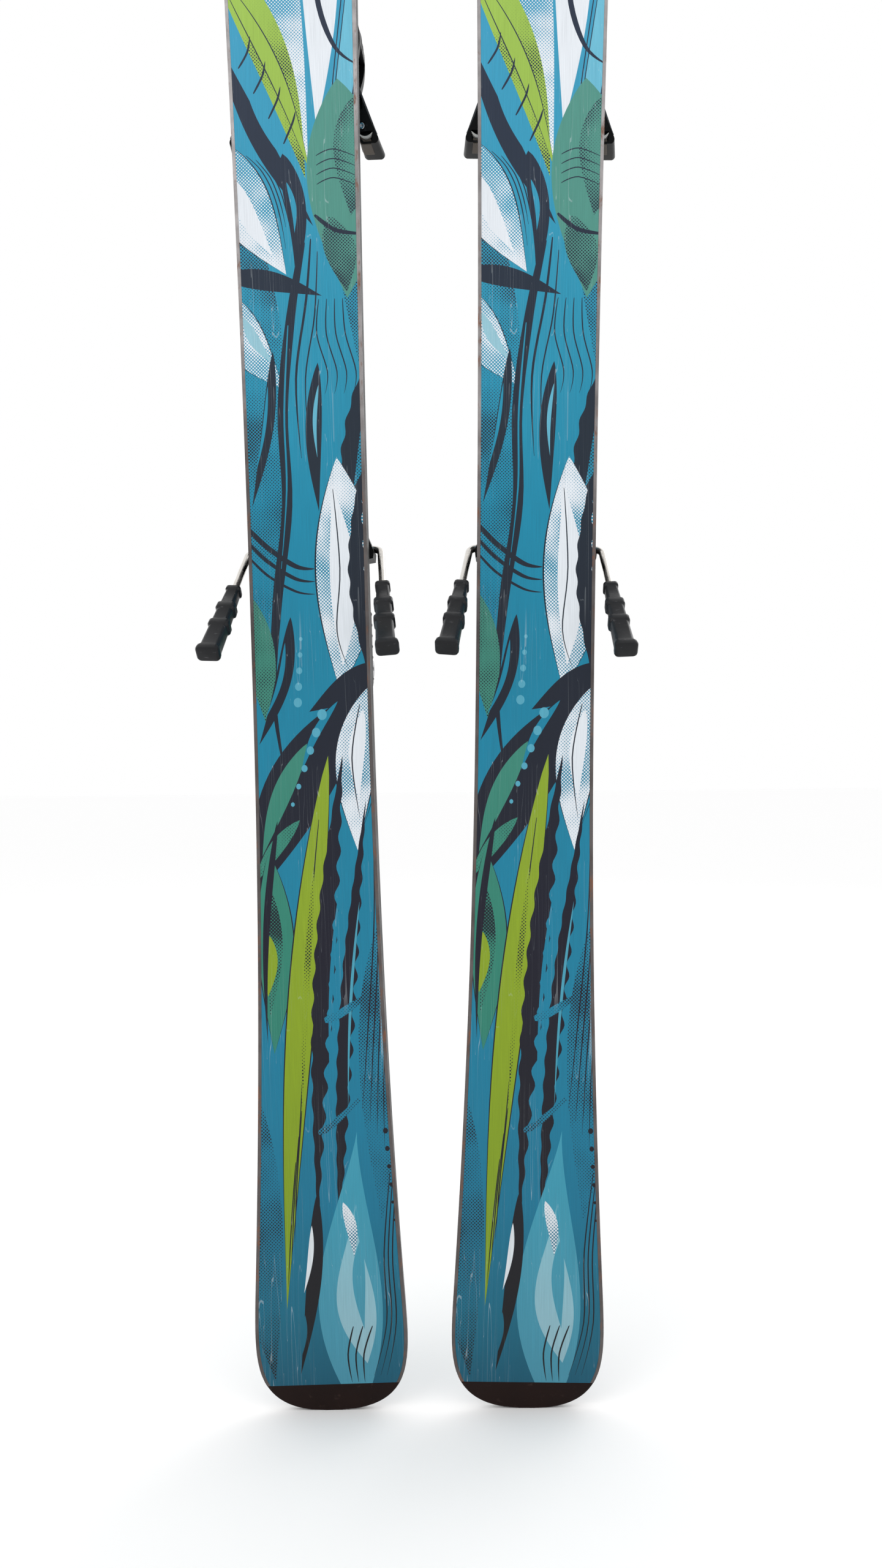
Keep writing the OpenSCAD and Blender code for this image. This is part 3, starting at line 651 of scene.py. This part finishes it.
TOP_ART = flat([
    leaf("deep_dots", (-50, 1300), (0, 1000), 60, 8), leaf("deep_dots", (60, 420), (10, 60), 60, 8),
    leaf("navy", (60, 1480), (-30, 1180), 70, 10), lined("lime", (-20, 1450), (14, 1120), 26, -12, echo=3),
    lined("white_dots", (50, 1340), (24, 1090), 40, 8, echo=3), leaf("white", (42, 1300), (26, 1130), 14, 6),
    leaf("navy", (-50, 1180), (-10, 940), 36, -8, wavy=2.0, waves=9),
    beads("pale", (-34, 1120), (-22, 1000), 5, 2, 7),
    leaf("green_dots", (60, 1110), (20, 960), 40, 6),
    leaf("navy", (24, 1100), (4, 700), 16, -6, wavy=2.0, waves=16),
    lined("pale", (-6, 1060), (-16, 900), 14, 4, echo=2), leaf("navy", (-44, 760), (-26, 600), 30, 6),
    lined("lime", (-24, 750), (-22, 620), 10, 5), lined("white_dots", (40, 750), (22, 620), 36, -4, echo=3),
    leaf("green", (-50, 440), (-20, 300), 36, 5), leaf("green_dots", (-44, 420), (-24, 320), 18, 4),
    lined("lime", (10, 430), (-28, 60), 20, -6),
    leaf("navy", (26, 430), (-2, 90), 15, -5, wavy=2.2, waves=16),
    lined("pale", (40, 340), (26, 130), 26, -5, echo=3), leaf("mist", (38, 310), (28, 170), 12, -4),
    [stroke("navy", 0.9, (40 - 3 * i, 140), (34 - 4 * i, 90), (28 - 5 * i, 40), end=0.2) for i in range(4)],
])


def inside(places, outline):
    """Which places are within a closed outline."""
    result = np.zeros(len(places), dtype=bool)
    low, high = outline.min(axis=0), outline.max(axis=0)
    near = np.nonzero(((places >= low) & (places <= high)).all(axis=1))[0]
    if not len(near):
        return result
    x, y = places[near, 0][:, None], places[near, 1][:, None]
    ax, ay = outline[:, 0], outline[:, 1]
    bx, by = np.roll(ax, -1), np.roll(ay, -1)
    crosses = (ay <= y) != (by <= y)
    at = ax + (y - ay) * (bx - ax) / np.where(by == ay, 1e-12, by - ay)
    turns = np.where(crosses & (at > x), np.where(by > ay, 1, -1), 0).sum(axis=1)
    result[near] = turns != 0
    return result


def printed_sheet(name, ski, art, half, z_print, z_back, span, node):
    """A sheet along the ski whose printed face is cut into the art's shapes."""
    ys = stations(*span, pitch=10.0)
    outline = [Vector((half(y), y)) for y in ys] + [Vector((-half(y), y)) for y in reversed(ys)]
    points = list(outline)
    edges = [(i, (i + 1) % len(outline)) for i in range(len(outline))]
    for _, shape in art:
        first, count = len(points), len(shape)
        edges += [(first + i, first + (i + 1) % count) for i in range(count)]
        points += [Vector((-p.x, p.y)) for p in shape]
    for y in ys[1:-1]:
        edges.append((len(points), len(points) + 1))
        points += [Vector((-half(y), y)), Vector((half(y), y))]
    verts, _, tris, *_ = delaunay_2d_cdt(points, edges, [], 0, 1e-4)
    places = np.array([p[:] for p in verts])
    centres = places[np.array(tris)].mean(axis=1)
    inks = np.zeros(len(tris), dtype=int)
    for ink_name, shape in art:
        inks[inside(centres, np.array([(-p.x, p.y) for p in shape]))] = INK_NAMES.index(ink_name)
    kept = inside(centres, np.array([p[:] for p in outline]))
    bm = bmesh.new()
    made = [bm.verts.new((p.x, p.y, z_print(p.y))) for p in verts]
    for tri, number, keep in zip(tris, inks, kept):
        if keep:
            bm.faces.new([made[i] for i in tri]).material_index = int(number)
    for v in [v for v in bm.verts if not v.link_faces]:
        bm.verts.remove(v)
    printed = list(bm.faces)
    back_index = len(INK_NAMES)
    copy = bmesh.ops.duplicate(bm, geom=printed)
    backs = [g for g in copy["geom"] if isinstance(g, bmesh.types.BMFace)]
    pair = {v: copy["vert_map"][v] for v in {v for f in printed for v in f.verts}}
    for v, w in pair.items():
        w.co.z = z_back(v.co.y)
    for face in backs:
        face.material_index = back_index
        face.normal_flip()
    rim = [e for e in {e for f in printed for e in f.edges} if len(e.link_faces) == 1]
    for e in rim:
        a, b = e.verts
        face = bm.faces.new((a, b, pair[b], pair[a]))
        face.material_index = back_index
    bmesh.ops.recalc_face_normals(bm, faces=bm.faces)
    layer = bm.verts.layers.float_vector.new("print")
    for v in bm.verts:
        v[layer] = (-v.co.x, v.co.y, 0.0)
    cuts = [span[0] + (span[1] - span[0]) * i / 4 for i in (1, 2, 3)]
    near = [min(ys, key=lambda y: abs(y - cut)) for cut in cuts]
    split = [e for e in bm.edges if any(all(abs(v.co.y - y) < 0.01 for v in e.verts) for y in near)]
    bmesh.ops.split_edges(bm, edges=split)
    return make_object(
        name, bm, ski, [*INKS.values(), SHEET_BACK], "ski", loose=True, sharp=30, replaces=[node],
    )


# ---- The ski's other layers ----


def ribbon(bm, ys, section):
    """A solid along the ski. section(y) gives its outline in X and Z."""
    loft([[(x, y, z) for x, z in section(y)] for y in ys], bm)


def chamfered(x0, x1, z0, z1, cuts):
    """A rectangle in X and Z with its corners cut: inner low, outer low, outer high, inner high."""
    a, b, c, d = cuts
    s = 1 if x1 > x0 else -1
    return [
        (x0 + s * a, z0), (x1 - s * b, z0), (x1, z0 + b), (x1, z1 - c),
        (x1 - s * c, z1), (x0 + s * d, z1), (x0, z1 - d), (x0, z0 + a),
    ]


def sidewall_section(s, half, low, top):
    high = top - TOPSHEET_THICKNESS
    inner = half - SIDEWALL_WIDTH
    points = ((inner, low), (half - 0.2, low), (half, low + 0.2), (half - 0.1, top - 1.6),
        (half - 0.5, high), (inner, high))
    return [(s * x, z) for x, z in points]


def build_ski(ski):
    body = (TAIL_CAP, SKI_LENGTH - TIP_CAP)
    ys = stations(*body)
    printed_sheet(
        ski.name("base_sheet"), ski, ART, lambda y: half_width(y) - EDGE_WIDTH, base_z,
        lambda y: base_z(y) + BASE_THICKNESS, body, "base",
    )
    printed_sheet(
        ski.name("top_sheet"), ski, TOP_ART, lambda y: half_width(y) - 0.5, top_z,
        lambda y: top_z(y) - TOPSHEET_THICKNESS, body, "topsheet",
    )
    bm = bmesh.new()
    for s in (1, -1):
        ribbon(bm, ys, lambda y: chamfered(
            s * (half_width(y) - EDGE_WIDTH), s * half_width(y), base_z(y), base_z(y) + BASE_THICKNESS,
            (0.1, 0.15, 0.1, 0.1)))
    make_object(ski.name("edge_strips"), bm, ski, EDGE_STEEL, "ski", replaces=["steel_edges"])
    bm = bmesh.new()
    for s in (1, -1):
        ribbon(bm, ys, lambda y: sidewall_section(s, half_width(y), base_z(y) + BASE_THICKNESS, top_z(y)))
    make_object(ski.name("side_strips"), bm, ski, SIDEWALL, "ski", replaces=["sidewalls"])
    for piece, span in (("tail_cap", (0.0, TAIL_CAP)), ("tip_cap", (SKI_LENGTH - TIP_CAP, SKI_LENGTH))):
        bm = bmesh.new()
        ribbon(bm, stations(*span, pitch=2.0), lambda y: chamfered(
            -half_width(y), half_width(y), base_z(y), top_z(y), (0.5, 0.5, 0.8, 0.8)))
        make_object(ski.name(piece + "_shell"), bm, ski, CAP, "ski", replaces=[piece])


# ---- Brake ----


def axle_frame(s):
    """The frame of one half of the brake: Z away from the axle, X outwards. s is 1 for +X and -1 for -X."""
    place = Matrix.Translation((0, *AXLE)) @ Matrix.Rotation(math.radians(90 + ARM_DROP), 4, "X")
    return place @ Matrix.Scale(s, 4, (1, 0, 0))


def arm_frame(s):
    """The frame of one brake arm, at the end of its axle and spread outwards."""
    return axle_frame(s) @ Matrix.Translation((AXLE_HALF, 0, 0)) @ Matrix.Rotation(math.radians(ARM_SPREAD),
        4, "Y")


def tube(bm, path, radius, sides=20):
    """A round wire along points that bend smoothly."""
    rings = []
    side = None
    for i, p in enumerate(path):
        ahead = (path[min(i + 1, len(path) - 1)] - path[max(i - 1, 0)]).normalized()
        if side is None:
            side = ahead.orthogonal().normalized()
        side = (side - ahead * side.dot(ahead)).normalized()
        other = ahead.cross(side)
        turns = [2 * math.pi * k / sides for k in range(sides)]
        rings.append([p + (side * math.cos(a) + other * math.sin(a)) * radius for a in turns])
    loft(rings, bm)


FOOT_SECTIONS = [
    # Along the arm, width, depth, offset outwards
    (0.0, 7.6, 7.2, 0), (0.6, 9.2, 8.8, 0), (2.6, 9.5, 9.0, 0), (3.3, 8.6, 8.2, 0), (3.9, 8.0, 7.6, 0),
    (17.0, 8.9, 8.2, 0),
    (17.8, 10.4, 9.0, 0), (18.6, 11.8, 9.8, 0), (22.8, 12.1, 10.0, 0), (23.8, 10.9, 9.4, 0),
    (24.5, 9.8, 8.8, 0),
    (35.2, 10.5, 9.2, 0), (35.9, 11.8, 10.0, 0), (36.7, 13.0, 10.5, 0), (40.0, 13.1, 10.5, 0),
    (40.9, 12.0, 10.0, 0),
    (41.7, 10.9, 9.3, 0), (59.6, 11.8, 9.6, 0.1), (60.8, 12.8, 10.0, 0.4), (61.7, 13.8, 10.4, 0.7),
    (64.0, 14.3, 10.6, 0.8),
    (65.2, 13.6, 10.2, 0.8), (65.8, 12.2, 9.2, 0.8), (66.0, 10.2, 7.6, 0.7),
]


def build_brake(ski):
    wire = bmesh.new()
    feet = bmesh.new()
    turn = math.radians(90 - ARM_SPREAD)
    cut = BEND_RADIUS * math.tan(turn / 2)
    for s in (1, -1):
        axle = axle_frame(s)
        arm = arm_frame(s)
        path = [axle @ Vector((0, 0, 0)), axle @ Vector((AXLE_HALF - cut - 2, 0, 0))]
        for i in range(13):
            a = -math.pi / 2 + turn * i / 12
            path.append(axle @ Vector((AXLE_HALF - cut + BEND_RADIUS * math.cos(a), 0,
                BEND_RADIUS + BEND_RADIUS * math.sin(a))))
        path += [arm @ Vector((0, 0, z)) for z in (cut + 2, 20, WIRE_END)]
        tube(wire, path, WIRE_RADIUS)
        rings = []
        for along_arm, width, depth, out in FOOT_SECTIONS:
            ring = slab(-width / 2, width / 2, -depth / 2, depth / 2, min(width, depth) * 0.24)
            rings.append([arm @ Vector((x + out, y, ARM_LENGTH - FOOT_LENGTH + along_arm)) for x, y in ring])
        loft(rings, feet)
    make_object(ski.name("brake_wire"), wire, ski, WIRE, "brake", replaces=["brake_arms"],
        sharp=50)
    make_object(ski.name("brake_shoes"), feet, ski, FOOT, "brake", replaces=["brake_feet"],
        sharp=28)


# ---- Toe wings ----


def carved(outline, front, back, pockets=(), bm=None, place=None, cuts=()):
    """A plate between the heights front and back.

    Each pocket is (outline, depth) sunk into its front, or raised if the depth is negative. Cuts are
    places in Y where the plate may bend.
    """
    bm = bm or bmesh.new()
    place = place or (lambda x, y, z: (x, y, z))
    step = 1 if back > front else -1
    points, edges = [], []
    for loop in [outline, *(p[0] for p in pockets)]:
        first, count = len(points), len(loop)
        edges += [(first + i, first + (i + 1) % count) for i in range(count)]
        points += [Vector(p[:2]) for p in loop]
    for y in cuts:
        edges.append((len(points), len(points) + 1))
        points += [Vector((-90, y)), Vector((90, y))]
    verts, _, tris, *_ = delaunay_2d_cdt(points, edges, [], 0, 1e-5)
    places = np.array([v[:] for v in verts])
    centres = places[np.array(tris)].mean(axis=1)
    levels = np.full(len(tris), float(front))
    for loop, depth in pockets:
        levels[inside(centres, np.array([p[:2] for p in loop]))] = front + step * depth
    levels[~inside(centres, np.array([p[:2] for p in outline]))] = np.nan
    made = {}

    def vert(i, level):
        key = (i, round(float(level), 5))
        if key not in made:
            made[key] = bm.verts.new(place(places[i][0], places[i][1], level))
        return made[key]

    sides = {}
    for tri, level in zip(tris, levels):
        if math.isnan(level):
            continue
        bm.faces.new([vert(i, level) for i in tri])
        bm.faces.new([vert(i, back) for i in reversed(tri)])
        for i, j in zip(tri, [*tri[1:], tri[0]]):
            sides.setdefault((min(i, j), max(i, j)), []).append(level)
    for (i, j), found in sides.items():
        low, high = (found + [back])[:2]
        if abs(low - high) > 1e-6:
            bm.faces.new([vert(i, low), vert(j, low), vert(j, high), vert(i, high)])
    return bm


def soften(obj, width, segments=2):
    """Rounds an object's sharp edges by a width in millimetres."""
    bevel = obj.modifiers.new("soften", "BEVEL")
    bevel.width = width * MM
    bevel.segments = segments
    bevel.limit_method = "ANGLE"
    bevel.angle_limit = math.radians(32)
    bevel.harden_normals = True
    return obj


WING_FRONT = 41.2
WING_BACK = 62.4


def flare(x, z):
    """How far a wing's outer wall leans in towards the ski."""
    return 1 - 0.042 * (WING_BACK - z) / 21 * smooth((x - 30) / 18)


def build_wings(ski):
    t = WING_Y
    wall = [
        (30.5, t + 20.5), (51.2, t - 29), *arc(48.2, t - 30.2, 3.2, 10, -75, 6),
        *arc(40.6, t - 30.2, 3.2, -100, -180, 6),
        (36.5, t - 22), (34.5, t - 12), (29, t - 4), (21, t + 4), (17.5, t + 11),
    ]
    lip = [(36, t - 4), (44, t - 20), (38, t - 20), (31, t - 16), (26, t - 8), (18, t + 1), (22, t + 8)]
    pivot = (23.0, TOE_Y + 17)
    screw = (39.4, t - 21.6)
    for letter, s in (("a", 1), ("b", -1)):
        place = lambda x, y, z: (s * x * flare(x, z), y, z)
        body = f"wing_{letter}"
        bm = carved(wall, WING_FRONT, WING_BACK, [
            ([(34.6, t + 8.4), (40.2, t - 4.6), (40.4, t - 10.4), (35.4, t - 11.2), (31.0, t - 2.0),
                (28.6, t + 6.0)], 5.0),
            (ring_of(*screw, 2.9), 1.4),
            ([(37.6, t - 25.6), (47.4, t - 25.0), (47.0, t - 31.9), (40.6, t - 32.2), (38.2, t - 29.8)],
                2.6),
        ], place=place)
        carved(lip, 59.2, 62.2, bm=bm, place=place)
        carved(ring_of(*pivot, 7.8, 36), 41.3, 62.5, [(ring_of(*pivot, 3.3, 24), 21.0)], bm=bm, place=place)
        obj = make_object(ski.name(f"wing_{letter}_shell"), bm, ski, BLACK, body,
            replaces=[f"toe_wing_{letter}"], sharp=25)
        soften(obj, 0.55, 3)
        rib = stroke("rib", 1.5, (33.0, t + 15.0), (42.2, t - 7.0), (50.6, t - 27.6), end=0.5)[1]
        bm = carved([(p.x, p.y) for p in rib], 40.9, 41.4, place=place)
        soften(make_object(ski.name(f"wing_{letter}_rib"), bm, ski, DARK, body), 0.2)
        bm = carved(ring_of(*screw, 2.2, 24), 41.0, 43.0, [(ring_of(*screw, 1.0, 6), 1.0)], place=place)
        soften(make_object(ski.name(f"wing_{letter}_screw"), bm, ski, CHROME, body),
            0.25)
        # Painted highlight: a white crescent piece put where the glossy boss below the screw shows a bright
        # reflection.
        highlight_crescent = arc(42.0, t - 24.6, 5.6, -12, -152, 12) + arc(41.7, t - 21.6, 6.8, -126, -50, 12)
        bm = carved(highlight_crescent, 41.0, 44.4, place=place)
        soften(make_object(ski.name(f"wing_{letter}_roller"), bm, ski, SLICK, body),
            0.7, 4)
        pad = [(38.4, t - 27.4), (39.4, t - 29.8), (42.0, t - 31.2), (45.6, t - 29.8), (46.4, t - 31.0),
            (46.0, t - 33.8), (38.6, t - 33.9), (37.0, t - 31.0)]
        bm = carved(pad, 41.6, 55.0, place=place)
        soften(make_object(ski.name(f"wing_{letter}_pad"), bm, ski, RUBBER, body), 0.4,
            3)


# ---- Details on the bindings ----


def housing_half(y):
    half = 39.5 - (y - TOE_Y - 41) ** 2 / 92
    return max(30.0, half) if y < TOE_Y + 41 else half


def housing_top(y):
    if y < TOE_Y + 3:
        return 60 + math.sqrt(max(0.0, 144 - (y - TOE_Y - 3) ** 2))
    return 36 + math.sqrt(max(0.0, 36**2 - max(0.0, y - TOE_Y - 56) ** 2))


def jaw_top(y):
    ahead = y - HEEL_Y + 8
    return 66 + math.sqrt(max(0.0, 23**2 - ahead**2)) if ahead > 0 else 89 + ahead * 0.105


def between(start, end, count):
    return [start + (end - start) * i / count for i in range(count + 1)]


def detail(ski, name, bm, material, body, slot, rounding_mm=0.3):
    return soften(make_object(ski.name(name), bm, ski, material, body, sharp=28), rounding_mm)


def bar(bm, x0, x1, y, half, front, back, radius, place=None):
    """A raised bar across the ski from x0 to x1, or back."""
    carved(slab(min(x0, x1), max(x0, x1), y - half, y + half, radius), front, back, bm=bm, place=place)


def rib_ring(s, wall, root, y, half, z, swell):
    """One level of an upright rib on a side wall: its root inside the wall and its round front."""
    shape = ((wall - root, -half), (wall + swell * 0.6, -1.1), (wall + swell, 0), (wall + swell * 0.6, 1.1),
        (wall - root, half))
    return [(s * x, y + dy, z) for x, dy in shape]


def build_toe_details(ski):
    t = TOE_Y
    top = lambda x, y, z: (x, y, housing_top(y) + z)
    ys = between(t + 4, t + 84, 24)
    half = lambda y: min(21.0, housing_half(y) - 8.5)
    outline = [(half(y), y) for y in ys] + [(-half(y), y) for y in reversed(ys)]
    grooves = [(slab(-13, 13, t + 60 + 5 * i, t + 62 + 5 * i, 0.9), 0.9) for i in range(3)]
    bm = carved(outline, 1.3, -0.6, [(slab(-6.5, 6.5, t + 30, t + 52, 2.5), 1.0), *grooves], place=top,
        cuts=between(t + 6, t + 83, 22))
    detail(ski, "toe_cover", bm, TRIM, "toe", "binding_plastic", 0.4)
    bm = carved(slab(-5.6, 5.6, t + 31, t + 51, 2.0), 0.75, 0.2, place=top)
    detail(ski, "toe_window", bm, WINDOW, "toe", "slick_plastic", 0.3)
    bm = bmesh.new()
    for i in range(9):
        reach = 4.2 if i % 4 == 0 else 2.6
        bar(bm, -4.6, -4.6 + reach, t + 33 + 2 * i, 0.28, 0.95, 0.6, 0.1, top)
    carved([(1.0, t + 41), (4.4, t + 39.4), (4.4, t + 42.6)], 0.95, 0.6, bm=bm, place=top)
    detail(ski, "toe_scale", bm, MARKS, "toe", "slick_plastic", 0.05)
    bm = bmesh.new()
    for s in (1, -1):
        for i in range(5):
            y = t + 44 + 6 * i
            rings = []
            for k in range(7):
                z = 41 + 3.4 * k
                wall = min(housing_half(y), 41 - 1.5 * (z - 36) / 28) - 0.5
                rings.append(rib_ring(s, wall, 1.2, y, 1.4, z, 1.1 * math.sin(math.pi * (k + 0.4) / 6.8)))
            loft(rings, bm)
    detail(ski, "toe_side_ribs", bm, BLACK, "toe", "binding_plastic", 0.25)
    bm = bmesh.new()
    for i in range(7):
        bar(bm, -25, 25, t - 64.5 + 6.5 * i, 1.2, 39.95, 39.2, 1.1)
    detail(ski, "glide_ribs", bm, SLICK, "glide_plate", "slick_plastic", 0.25)
    bm = carved(slab(-23, 23, t - 10, t - 3, 2.5), 71.3, 66, [(slab(-18, 18, t - 8.4, t - 5, 1.2), 0.8)],
        place=lambda x, y, z: (x, y, min(z, housing_top(y) + 0.7)))
    detail(ski, "toe_brow", bm, BLACK, "toe", "binding_plastic", 0.6)


def build_track_details(ski):
    for name, start, end in TRACKS:
        bm = bmesh.new()
        for s in (1, -1):
            for i in range(13):
                y = start + 40 + (end - start - 80) * i / 12
                reach = 5.2 if i % 4 == 0 else 3.2
                bar(bm, s * 31, s * (31 - reach), y, 0.35, PLATE_TOP + 0.12, PLATE_TOP - 0.1, 0.1)
        detail(ski, f"{name}_track_scale", bm, MARKS, "ski", "slick_plastic", 0.04)
        bm = bmesh.new()
        for s in (1, -1):
            for i in range(22):
                y = start + 22 + (end - start - 44) * (i + 0.5) / 22
                bar(bm, s * 14, s * 19, y, 1.9, 29.15, 28.6, 0.6)
        detail(ski, f"{name}_track_teeth", bm, TRACK_STEEL, "ski", "cast_metal", 0.12)


def build_heel_details(ski):
    h = HEEL_Y
    top = lambda x, y, z: (x, y, jaw_top(y) + z)
    ys = between(h - 33, h + 9, 14)
    lever_top = lambda x, y, z: (x, y, z - (y - h + 75) * 0.055)
    half = lambda y: 11 + 9 * smooth((y - h + 20) / 16)
    outline = [(half(y), y) for y in ys] + [(-half(y), y) for y in reversed(ys)]
    bm = carved(outline, 1.2, -0.6, [(slab(-5, 5, h - 28, h - 12, 2), 0.9),
        (slab(-12, 12, h - 3.4, h - 1.6, 0.8), 0.7), (slab(-12, 12, h + 1.0, h + 2.8, 0.8), 0.7)],
                place=top, cuts=between(h - 31, h + 8, 12))
    detail(ski, "jaw_cover", bm, TRIM, "jaw", "binding_plastic", 0.4)
    bm = carved(slab(-4.2, 4.2, h - 27, h - 13, 1.6), 0.7, 0.2, place=top)
    detail(ski, "jaw_window", bm, WINDOW, "jaw", "slick_plastic", 0.3)
    bm = bmesh.new()
    for i in range(6):
        reach = 3.2 if i % 5 == 0 else 2.0
        bar(bm, -3.4, -3.4 + reach, h - 25.5 + 2.2 * i, 0.26, 0.9, 0.6, 0.1, top)
    detail(ski, "jaw_scale", bm, MARKS, "jaw", "slick_plastic", 0.05)
    bm = bmesh.new()
    for s in (1, -1):
        rim, socket = ([(z, y) for y, z in ring_of(h - 37, 56, *size)] for size in ((5.6, 32), (2.2, 6)))
        carved(rim, 33.4, 31.2, [(socket, 1.2)], bm=bm, place=lambda x, y, z: (s * z, y, x))
    detail(ski, "heel_pin_caps", bm, CHROME, "heel", "bright_steel", 0.35)
    bm = carved(ring_of(0, h - 75, 9.5, 40), 91.9, 89.6,
        [(ring_of(0, h - 75, 7.4, 36), 1.5), (ring_of(0, h - 75, 2.4, 24), 2.1)],
                place=lever_top)
    detail(ski, "lever_dimple", bm, BLACK, "lever", "lever_plastic", 0.4)
    bm = bmesh.new()
    for s in (1, -1):
        for i in range(4):
            bar(bm, s * 12, s * 22.6, h - 82 + 4.2 * i, 0.8, 91.6, 90.0, 0.7, lever_top)
    detail(ski, "lever_grip", bm, BLACK, "lever", "lever_plastic", 0.3)
    bm = bmesh.new()
    for s in (1, -1):
        for i in range(7):
            swells = [1.1 * math.sin(math.pi * (k + 0.5) / 6) for k in range(6)]
            loft([rib_ring(s, 35.4, 0.6, h - 46 + 7 * i, 1.5, 24.4 + 1.9 * k, swell) for k,
                swell in enumerate(swells)], bm)
    detail(ski, "heel_flank_ribs", bm, BLACK, "heel", "binding_plastic", 0.2)
    grooves = [(slab(-24, 24, h - 9.5 + 3.4 * i, h - 8.3 + 3.4 * i, 0.5), 0.35) for i in range(4)]
    bm = carved(slab(-27, 27, h - 12, h + 3, 2.5), 40.1, 39.3, grooves)
    detail(ski, "heel_pad", bm, SLICK, "heel", "slick_plastic", 0.2)
    bm = bmesh.new()
    for s in (1, -1):
        for i in range(7):
            bar(bm, s * 25, s * 31, h + 58 + 3.6 * i, 0.8, 31.6, 30.4, 0.6)
    detail(ski, "brake_plate_ribs", bm, BLACK, "heel", "binding_plastic", 0.25)
    bm = bmesh.new()
    for x in (-28, 28):
        for y in (h + 10, h + 86.5):
            carved(ring_of(x, y, 2.7, 24), 31.9, 30.4, [(ring_of(x, y, 1.3, 6), 0.8)], bm=bm)
    detail(ski, "brake_plate_screws", bm, CHROME, "heel", "bright_steel", 0.25)
    turn = Matrix.Translation((0, *AXLE)) @ Matrix.Rotation(math.radians(52), 4, "X")
    bm = bmesh.new()
    place = lambda x, y, z: (turn @ Vector((x, y, z)))[:]
    carved(slab(-20, 20, 12, 46.4, 4), 3.5, 2.6,
        [(slab(-17, 17, 15 + 5.2 * i, 17.6 + 5.2 * i, 1.2), -1.0) for i in range(6)], bm=bm, place=place)
    detail(ski, "pedal_tread", bm, BLACK, "brake", "lever_plastic", 0.3)


# ---- CAD nodes that stay ----

FINISH = (
    (WOOD, ("core",)),
    (BLACK, ("toe_track", "heel_track", "toe_carriage", "toe_housing", "heel_carriage", "heel_jaw",
        "brake_plate")),
    (DARK, ("heel_lever", "brake_pedal")),
    (SLICK, ("antifriction_plate",)),
    (CAST, ("toe_piston",)),
    (SPRING, ("toe_spring", "heel_spring", "brake_spring")),
    (CHROME, ("track_screws", "toe_wing_pins", "toe_release_screw", "heel_pin", "heel_release_screw")),
)

# Rounding of the CAD nodes' sharp edges, in millimetres
EDGE_ROUND = {
    "toe_track": 0.7, "heel_track": 0.7, "toe_carriage": 1.0, "toe_housing": 1.4, "antifriction_plate": 0.8,
    "heel_carriage": 1.0,
    "heel_jaw": 1.4, "heel_lever": 1.2, "brake_plate": 0.6, "brake_pedal": 0.9, "track_screws": 0.3,
    "toe_release_screw": 0.3,
    "heel_release_screw": 0.3,
}


def dress(ski):
    for piece, material in ((piece, material) for material, pieces in FINISH for piece in pieces):
        obj = NODES[ski.name(piece)]
        obj.data.materials.clear()
        obj.data.materials.append(material)
        if piece in EDGE_ROUND:
            weld = obj.modifiers.new("weld", "WELD")
            weld.merge_threshold = 0.01 * MM
            soften(obj, EDGE_ROUND[piece], 3)


# ---- Studio ----

CAMERA_DISTANCE = 750.0
FRAME_HEIGHT = 982.0
CAMERA_AT = (56.9, 393.3)
CAMERA_ROLL = 0.585
FRAME_SHIFT = -0.047
SENSOR_WIDTH = 36.0
FLOOR_HALF = 60.0


def build_studio():
    scene = bpy.context.scene
    scene.view_settings.view_transform = "Standard"
    world = bpy.data.worlds.new("studio")
    world.use_nodes = True
    world.node_tree.nodes["Background"].inputs[0].default_value = (1, 1, 1, 1)
    world.node_tree.nodes["Background"].inputs[1].default_value = 1.0
    scene.world = world
    mesh = bpy.data.meshes.new("floor")
    corners = ((-1, -1), (1, -1), (1, 1), (-1, 1))
    mesh.from_pydata([(FLOOR_HALF * x, FLOOR_HALF * y, 0) for x, y in corners], [], [(0, 1, 2, 3)])
    floor = bpy.data.objects.new("floor", mesh)
    pale = Shader("pale_floor")
    pale.set(Base_Color=(0.985, 0.985, 0.985, 1), Roughness=0.9)
    mesh.materials.append(pale.material)
    scene.collection.objects.link(floor)
    for name, place, size, power in (
        ("key", (-1.4, -2.0, 2.4), 1.6, 9), ("fill", (1.8, -1.6, 1.0), 1.4, 4),
        ("back_key", (1.5, 2.0, 2.2), 1.6, 9), ("back_fill", (-1.8, 1.6, 1.0), 1.4, 4),
    ):
        light = bpy.data.lights.new(name, "AREA")
        light.size = size
        light.energy = power
        lamp = bpy.data.objects.new(name, light)
        lamp.location = place
        lamp.rotation_mode = "QUATERNION"
        lamp.rotation_quaternion = (Vector((0, 0, 0.7)) - Vector(place)).to_track_quat("-Z", "Y")
        scene.collection.objects.link(lamp)
    camera = bpy.data.cameras.new("camera")
    camera.sensor_width = SENSOR_WIDTH
    camera.lens = SENSOR_WIDTH * CAMERA_DISTANCE / FRAME_HEIGHT
    camera.shift_x = FRAME_SHIFT
    camera.clip_start = 0.01
    eye = bpy.data.objects.new("camera", camera)
    base_plane = Ski("left").place.translation.y
    eye.location = (CAMERA_AT[0] * MM, base_plane - CAMERA_DISTANCE * MM, CAMERA_AT[1] * MM)
    eye.rotation_euler = (Matrix.Rotation(math.pi / 2, 3, "X") @ Matrix.Rotation(-math.radians(CAMERA_ROLL),
        3, "Z")).to_euler()
    scene.collection.objects.link(eye)
    scene.camera = eye


build_studio()
for side in SIDES:
    ski = Ski(side)
    build_ski(ski)
    build_brake(ski)
    build_wings(ski)
    build_toe_details(ski)
    build_track_details(ski)
    build_heel_details(ski)
    dress(ski)
